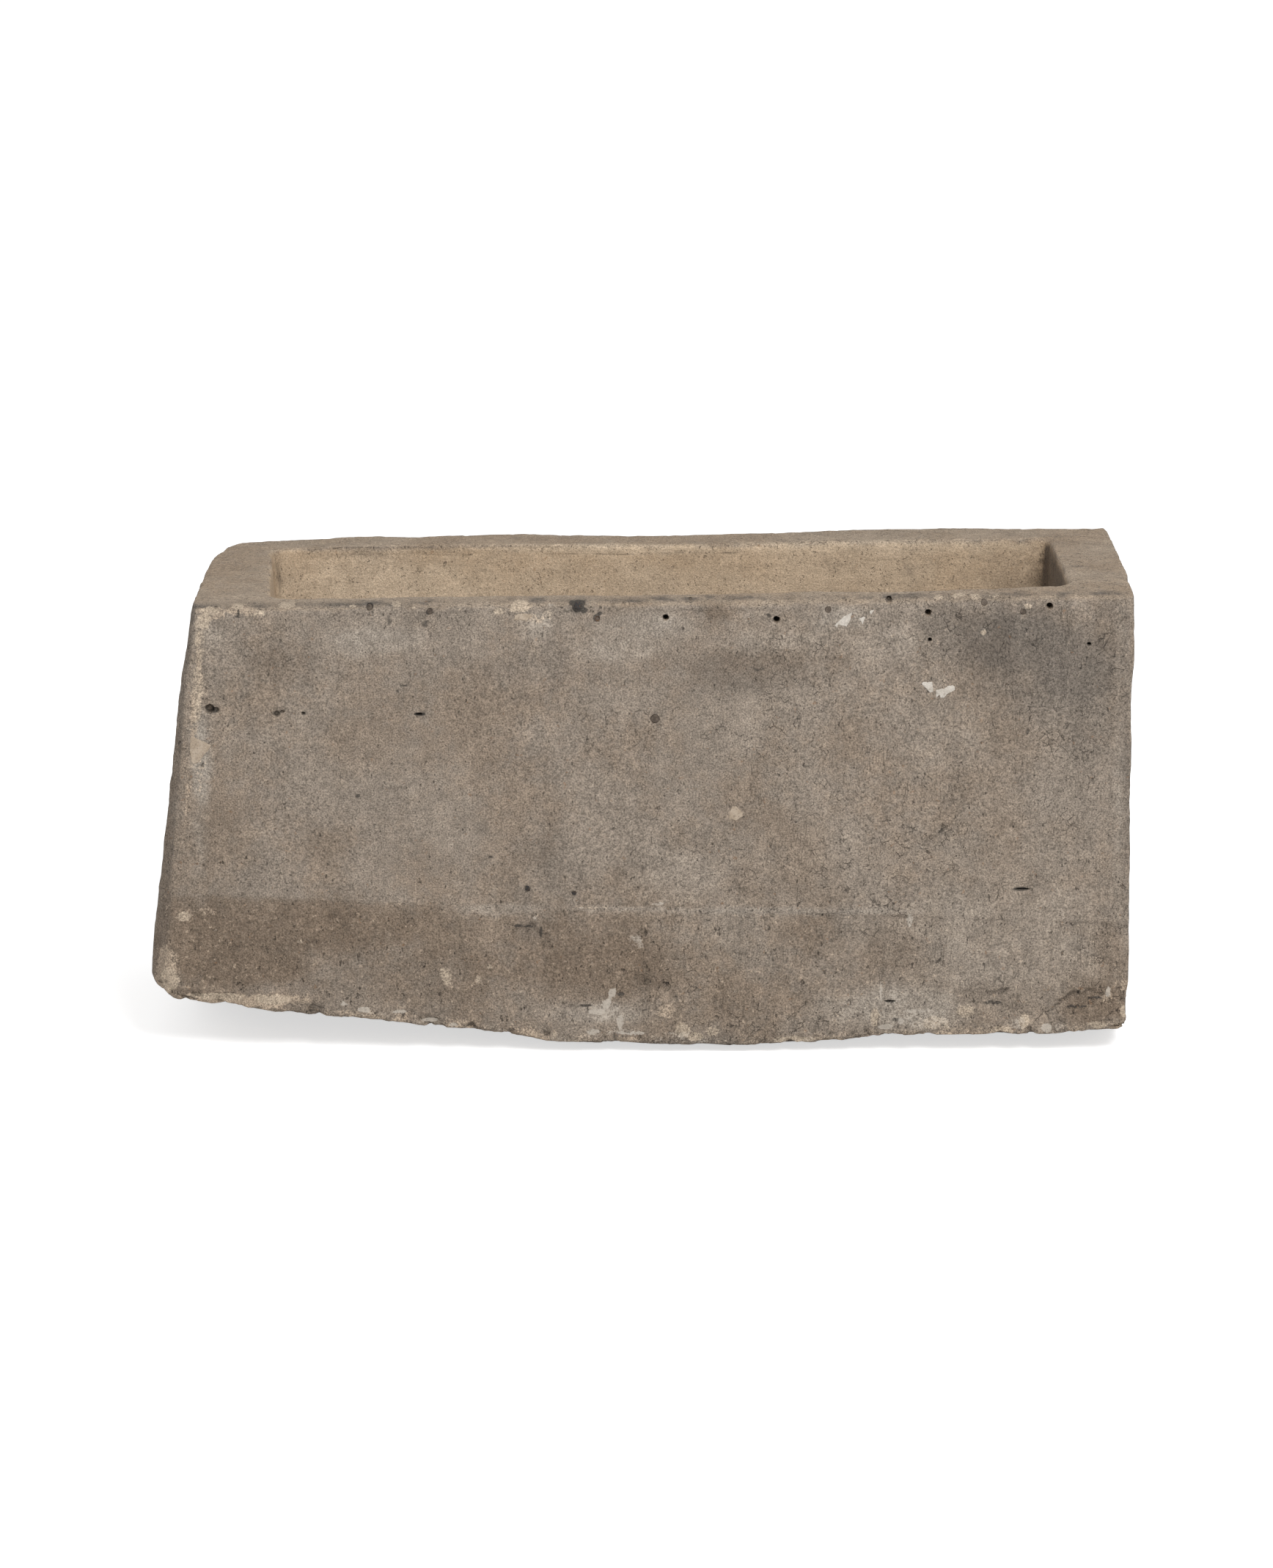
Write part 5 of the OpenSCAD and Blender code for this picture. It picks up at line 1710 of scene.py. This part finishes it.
def studio_camera(studio):
    camera = bpy.data.objects.new("camera", bpy.data.cameras.new("camera"))
    bpy.context.scene.collection.objects.link(camera)
    camera.data.sensor_width = 36.0
    camera.data.lens = studio.lens
    camera.data.clip_end = 200.0
    camera.location = studio.camera_place
    camera.rotation_euler = (QUARTER_TURN - studio.pitch, 0, 0)
    bpy.context.scene.camera = camera
    bpy.context.scene.view_settings.view_transform = "Standard"


class TROUGH_OT_studio(bpy.types.Operator):
    """Set up the camera, the floor and the lamps"""

    bl_idname = "trough.studio"
    bl_label = "Studio"

    def execute(self, context):
        studio = context.scene.trough_studio
        studio_camera(studio)
        studio_floor()
        studio_sky(studio.sky)
        studio_lamp("key_lamp", *KEY_LAMP, studio.key)
        studio_lamp("fill_lamp", *FILL_LAMP, studio.fill)
        return {"FINISHED"}


class TROUGH_PT_tools(bpy.types.Panel):
    """Lists the steps that dress the trough sink."""

    bl_idname = "TROUGH_PT_tools"
    bl_label = "Trough sink"
    bl_space_type = "VIEW_3D"
    bl_region_type = "UI"
    bl_category = "Trough sink"

    def draw(self, context):
        for step in STEPS:
            self.layout.operator(step.bl_idname)
        for group in GROUPS:
            settings = getattr(context.scene, group)
            column = self.layout.column()
            for key in settings.__annotations__:
                column.prop(settings, key)


STEPS = (TROUGH_OT_studio, TROUGH_OT_block, TROUGH_OT_waste, TROUGH_OT_fixings)
GROUPS = {
    "trough_stone": TroughStone, "trough_fittings": TroughFittings, "trough_studio": TroughStudio,
}


def register():
    for group in GROUPS.values():
        bpy.utils.register_class(group)
    for key, group in GROUPS.items():
        setattr(bpy.types.Scene, key, bpy.props.PointerProperty(type=group))
    for step in STEPS:
        bpy.utils.register_class(step)
    bpy.utils.register_class(TROUGH_PT_tools)


def unregister():
    bpy.utils.unregister_class(TROUGH_PT_tools)
    for step in reversed(STEPS):
        bpy.utils.unregister_class(step)
    for key, group in GROUPS.items():
        delattr(bpy.types.Scene, key)
        bpy.utils.unregister_class(group)


def main():
    register()
    bpy.ops.trough.studio()
    bpy.ops.trough.block()
    bpy.ops.trough.waste()
    bpy.ops.trough.fixings()


if __name__ == "__main__":
    main()
